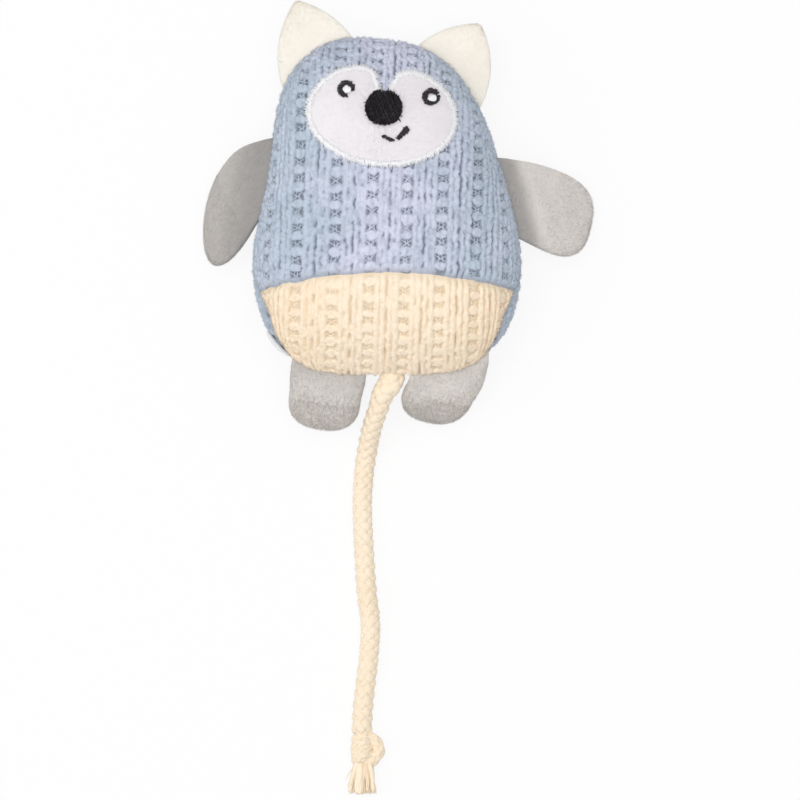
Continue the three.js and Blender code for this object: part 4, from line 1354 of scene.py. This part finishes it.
def tassel_shapes(top):
    """Thick yarns that fan out below the knot, fine wisps among them, and one stray thread."""
    shapes = []
    for _ in range(TASSEL_YARNS):
        start = random.normal(0, YARN_SPREAD, 2)
        fan = start * YARN_FAN + random.normal(0, 0.5, 2)
        fan = np.clip(fan, np.negative(YARN_LIMIT), YARN_LIMIT)
        length = TASSEL_REACH * random.uniform(0.88, 1.0)
        shares = np.linspace(0, 1, 12)
        wave = 0.28 * np.sin(shares * random.uniform(5, 9) + random.uniform(0, 6))
        x = top[0] + mix(start[0], fan[0], shares**0.8) + wave * shares
        z = top[2] + mix(start[1], fan[1], shares**0.8) + wave[::-1] * 0.5 * shares
        path = np.stack([x, top[1] - length * shares, np.maximum(z, 0.55)], 1)
        shapes.append(tube(path, np.linspace(*YARN_RADIUS, 12), 8, random.uniform(0, 0.1)))
    for _ in range(TASSEL_WISPS):
        start = random.normal(0, WISP_SPREAD, 2)
        fan = np.clip(start * WISP_FAN + random.normal(0, 0.8, 2), np.negative(WISP_LIMIT), WISP_LIMIT)
        length = TASSEL_REACH * random.uniform(0.7, 1.02)
        shares = np.linspace(0, 1, 7)
        x = top[0] + mix(start[0], fan[0], shares)
        z = top[2] + mix(start[1], fan[1], shares)
        path = np.stack([x, top[1] - length * shares, np.maximum(z, 0.2)], 1)
        shapes.append(tube(path, WISP_RADIUS, 4, random.uniform(0, 0.3)))
    path = [(top[0] + x, top[1] + y, 1.2) for x, y in TASSEL_STRAY]
    shapes.append(tube(smooth_path(path, 14), np.linspace(0.25, 0.12, 14), 5))
    return shapes


def make_tail():
    route = np.array([rope_point(*place) for place in ROPE_ROUTE])
    path = smooth_path([route[0] + [0.6, ROOT_INSIDE, 0], *route], ROPE_STEPS)
    run = run_along(path)
    flare = 1 + ROPE_FLARE * (1 - smoothstep(run, *FLARE_FADE))
    split = int(np.searchsorted(run, ROOT_INSIDE + ROOT_LENGTH))
    lengths = []
    for name, span in (("root", slice(0, split + 1)), ("rope", slice(split, None))):
        strands = braid(path, ROPE_FLUFF * ROPE_RADIUS, BRAID_PITCH, flare, span)
        made = cotton_piece(f"tail_{name}_braid", f"tail_{name}", strands, ROPE_HAIRS[name], ROPE_HAIR)
        lengths.append(made)
    root, rope = lengths

    half = KNOT_LENGTH / 2 + KNOT_LEAD
    knot_middle = np.array([route[-1, 0], route[-1, 1] - half - 0.3, KNOT_TWIST + KNOT_STRAND])
    knot_path = smooth_path(knot_route(), ROPE_STEPS) + knot_middle
    lead_in = smooth_path([route[-1] + [0, 1, 0], knot_path[0] + [0, 0.4, 0], knot_path[0]], 12)
    strands = braid(np.concatenate([lead_in[:-1], knot_path]), KNOT_STRAND, KNOT_PITCH)
    knot = cotton_piece("tail_knot_braid", "tail_knot", strands, KNOT_HAIRS, KNOT_HAIR)
    made = joined(tassel_shapes(knot_middle - [0, half - TASSEL_HIDDEN, 0]))
    tassel = make_piece("tail_tassel_yarn", made, "cotton_rope", "tail_tassel")

    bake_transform(root)
    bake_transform(rope)
    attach(knot, "tail_tip")
    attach(tassel, "tail_tip")


# What is inside keeps its solids
def finish_inside():
    for node, slot in (
        ("seam_thread", "blue_thread"),
        ("pouch_front", "muslin"),
        ("pouch_back", "muslin"),
        ("catnip", "dried_herb"),
        ("front_filling", "fibre_fill"),
        ("back_filling", "fibre_fill"),
    ):
        materials = frame["nodes"][node].data.materials
        materials.clear()
        materials.append(LOOKS[slot])


# Pale floor and soft studio light
def make_floor():
    """A pale floor that looks almost white to the camera and keeps the toy's shadow."""
    mesh = bpy.data.meshes.new("floor")
    corners = [(x * FLOOR_REACH, y * FLOOR_REACH, 0) for x, y in ((-1, -1), (1, -1), (1, 1), (-1, 1))]
    mesh.from_pydata(corners, [], [(0, 1, 2, 3)])
    floor = placed("floor", mesh)
    material = bpy.data.materials.new("floor")
    material.use_nodes = True
    nodes, links = material.node_tree.nodes, material.node_tree.links
    shader = nodes["Principled BSDF"]
    shader.inputs["Base Color"].default_value = (FLOOR_GREY, FLOOR_GREY, FLOOR_GREY, 1)
    shader.inputs["Roughness"].default_value = 0.9
    white = nodes.new("ShaderNodeEmission")
    white.inputs["Strength"].default_value = 1
    rays = nodes.new("ShaderNodeLightPath")
    share = nodes.new("ShaderNodeMath")
    share.operation = "MULTIPLY"
    share.inputs[1].default_value = FLOOR_WHITE
    mixed = nodes.new("ShaderNodeMixShader")
    links.new(rays.outputs["Is Camera Ray"], share.inputs[0])
    for socket, made in zip(mixed.inputs, (share, shader, white)):
        links.new(made.outputs[0], socket)
    links.new(mixed.outputs[0], nodes["Material Output"].inputs["Surface"])
    mesh.materials.append(material)


def make_sky():
    """Even light from all round, which the camera sees as white."""
    world = bpy.data.worlds.new("studio")
    scene.world = world
    world.use_nodes = True
    nodes, links = world.node_tree.nodes, world.node_tree.links
    background = nodes["Background"]
    background.inputs["Color"].default_value = (1, 1, 1, 1)
    rays = nodes.new("ShaderNodeLightPath")
    strength = nodes.new("ShaderNodeMapRange")
    links.new(rays.outputs["Is Camera Ray"], strength.inputs["Value"])
    strength.inputs["To Min"].default_value = SKY_LIGHT
    strength.inputs["To Max"].default_value = 1
    links.new(strength.outputs[0], background.inputs["Strength"])


def make_lamps():
    for name, (place, size, power) in LAMPS.items():
        data = bpy.data.lights.new(name, "AREA")
        data.size = size
        data.energy = power
        lamp = placed(name, data)
        lamp.location = place
        way = unit(np.array(LIGHT_AIM) - np.array(place))
        lamp.rotation_euler = (math.acos(-way[2]), 0, math.atan2(way[1], way[0]) - math.pi / 2)


make_camera()
make_tail()
make_body()
make_face()
make_ears()
make_limbs()
make_label()
finish_inside()
make_floor()
make_sky()
make_lamps()
scene.view_settings.view_transform = "Standard"
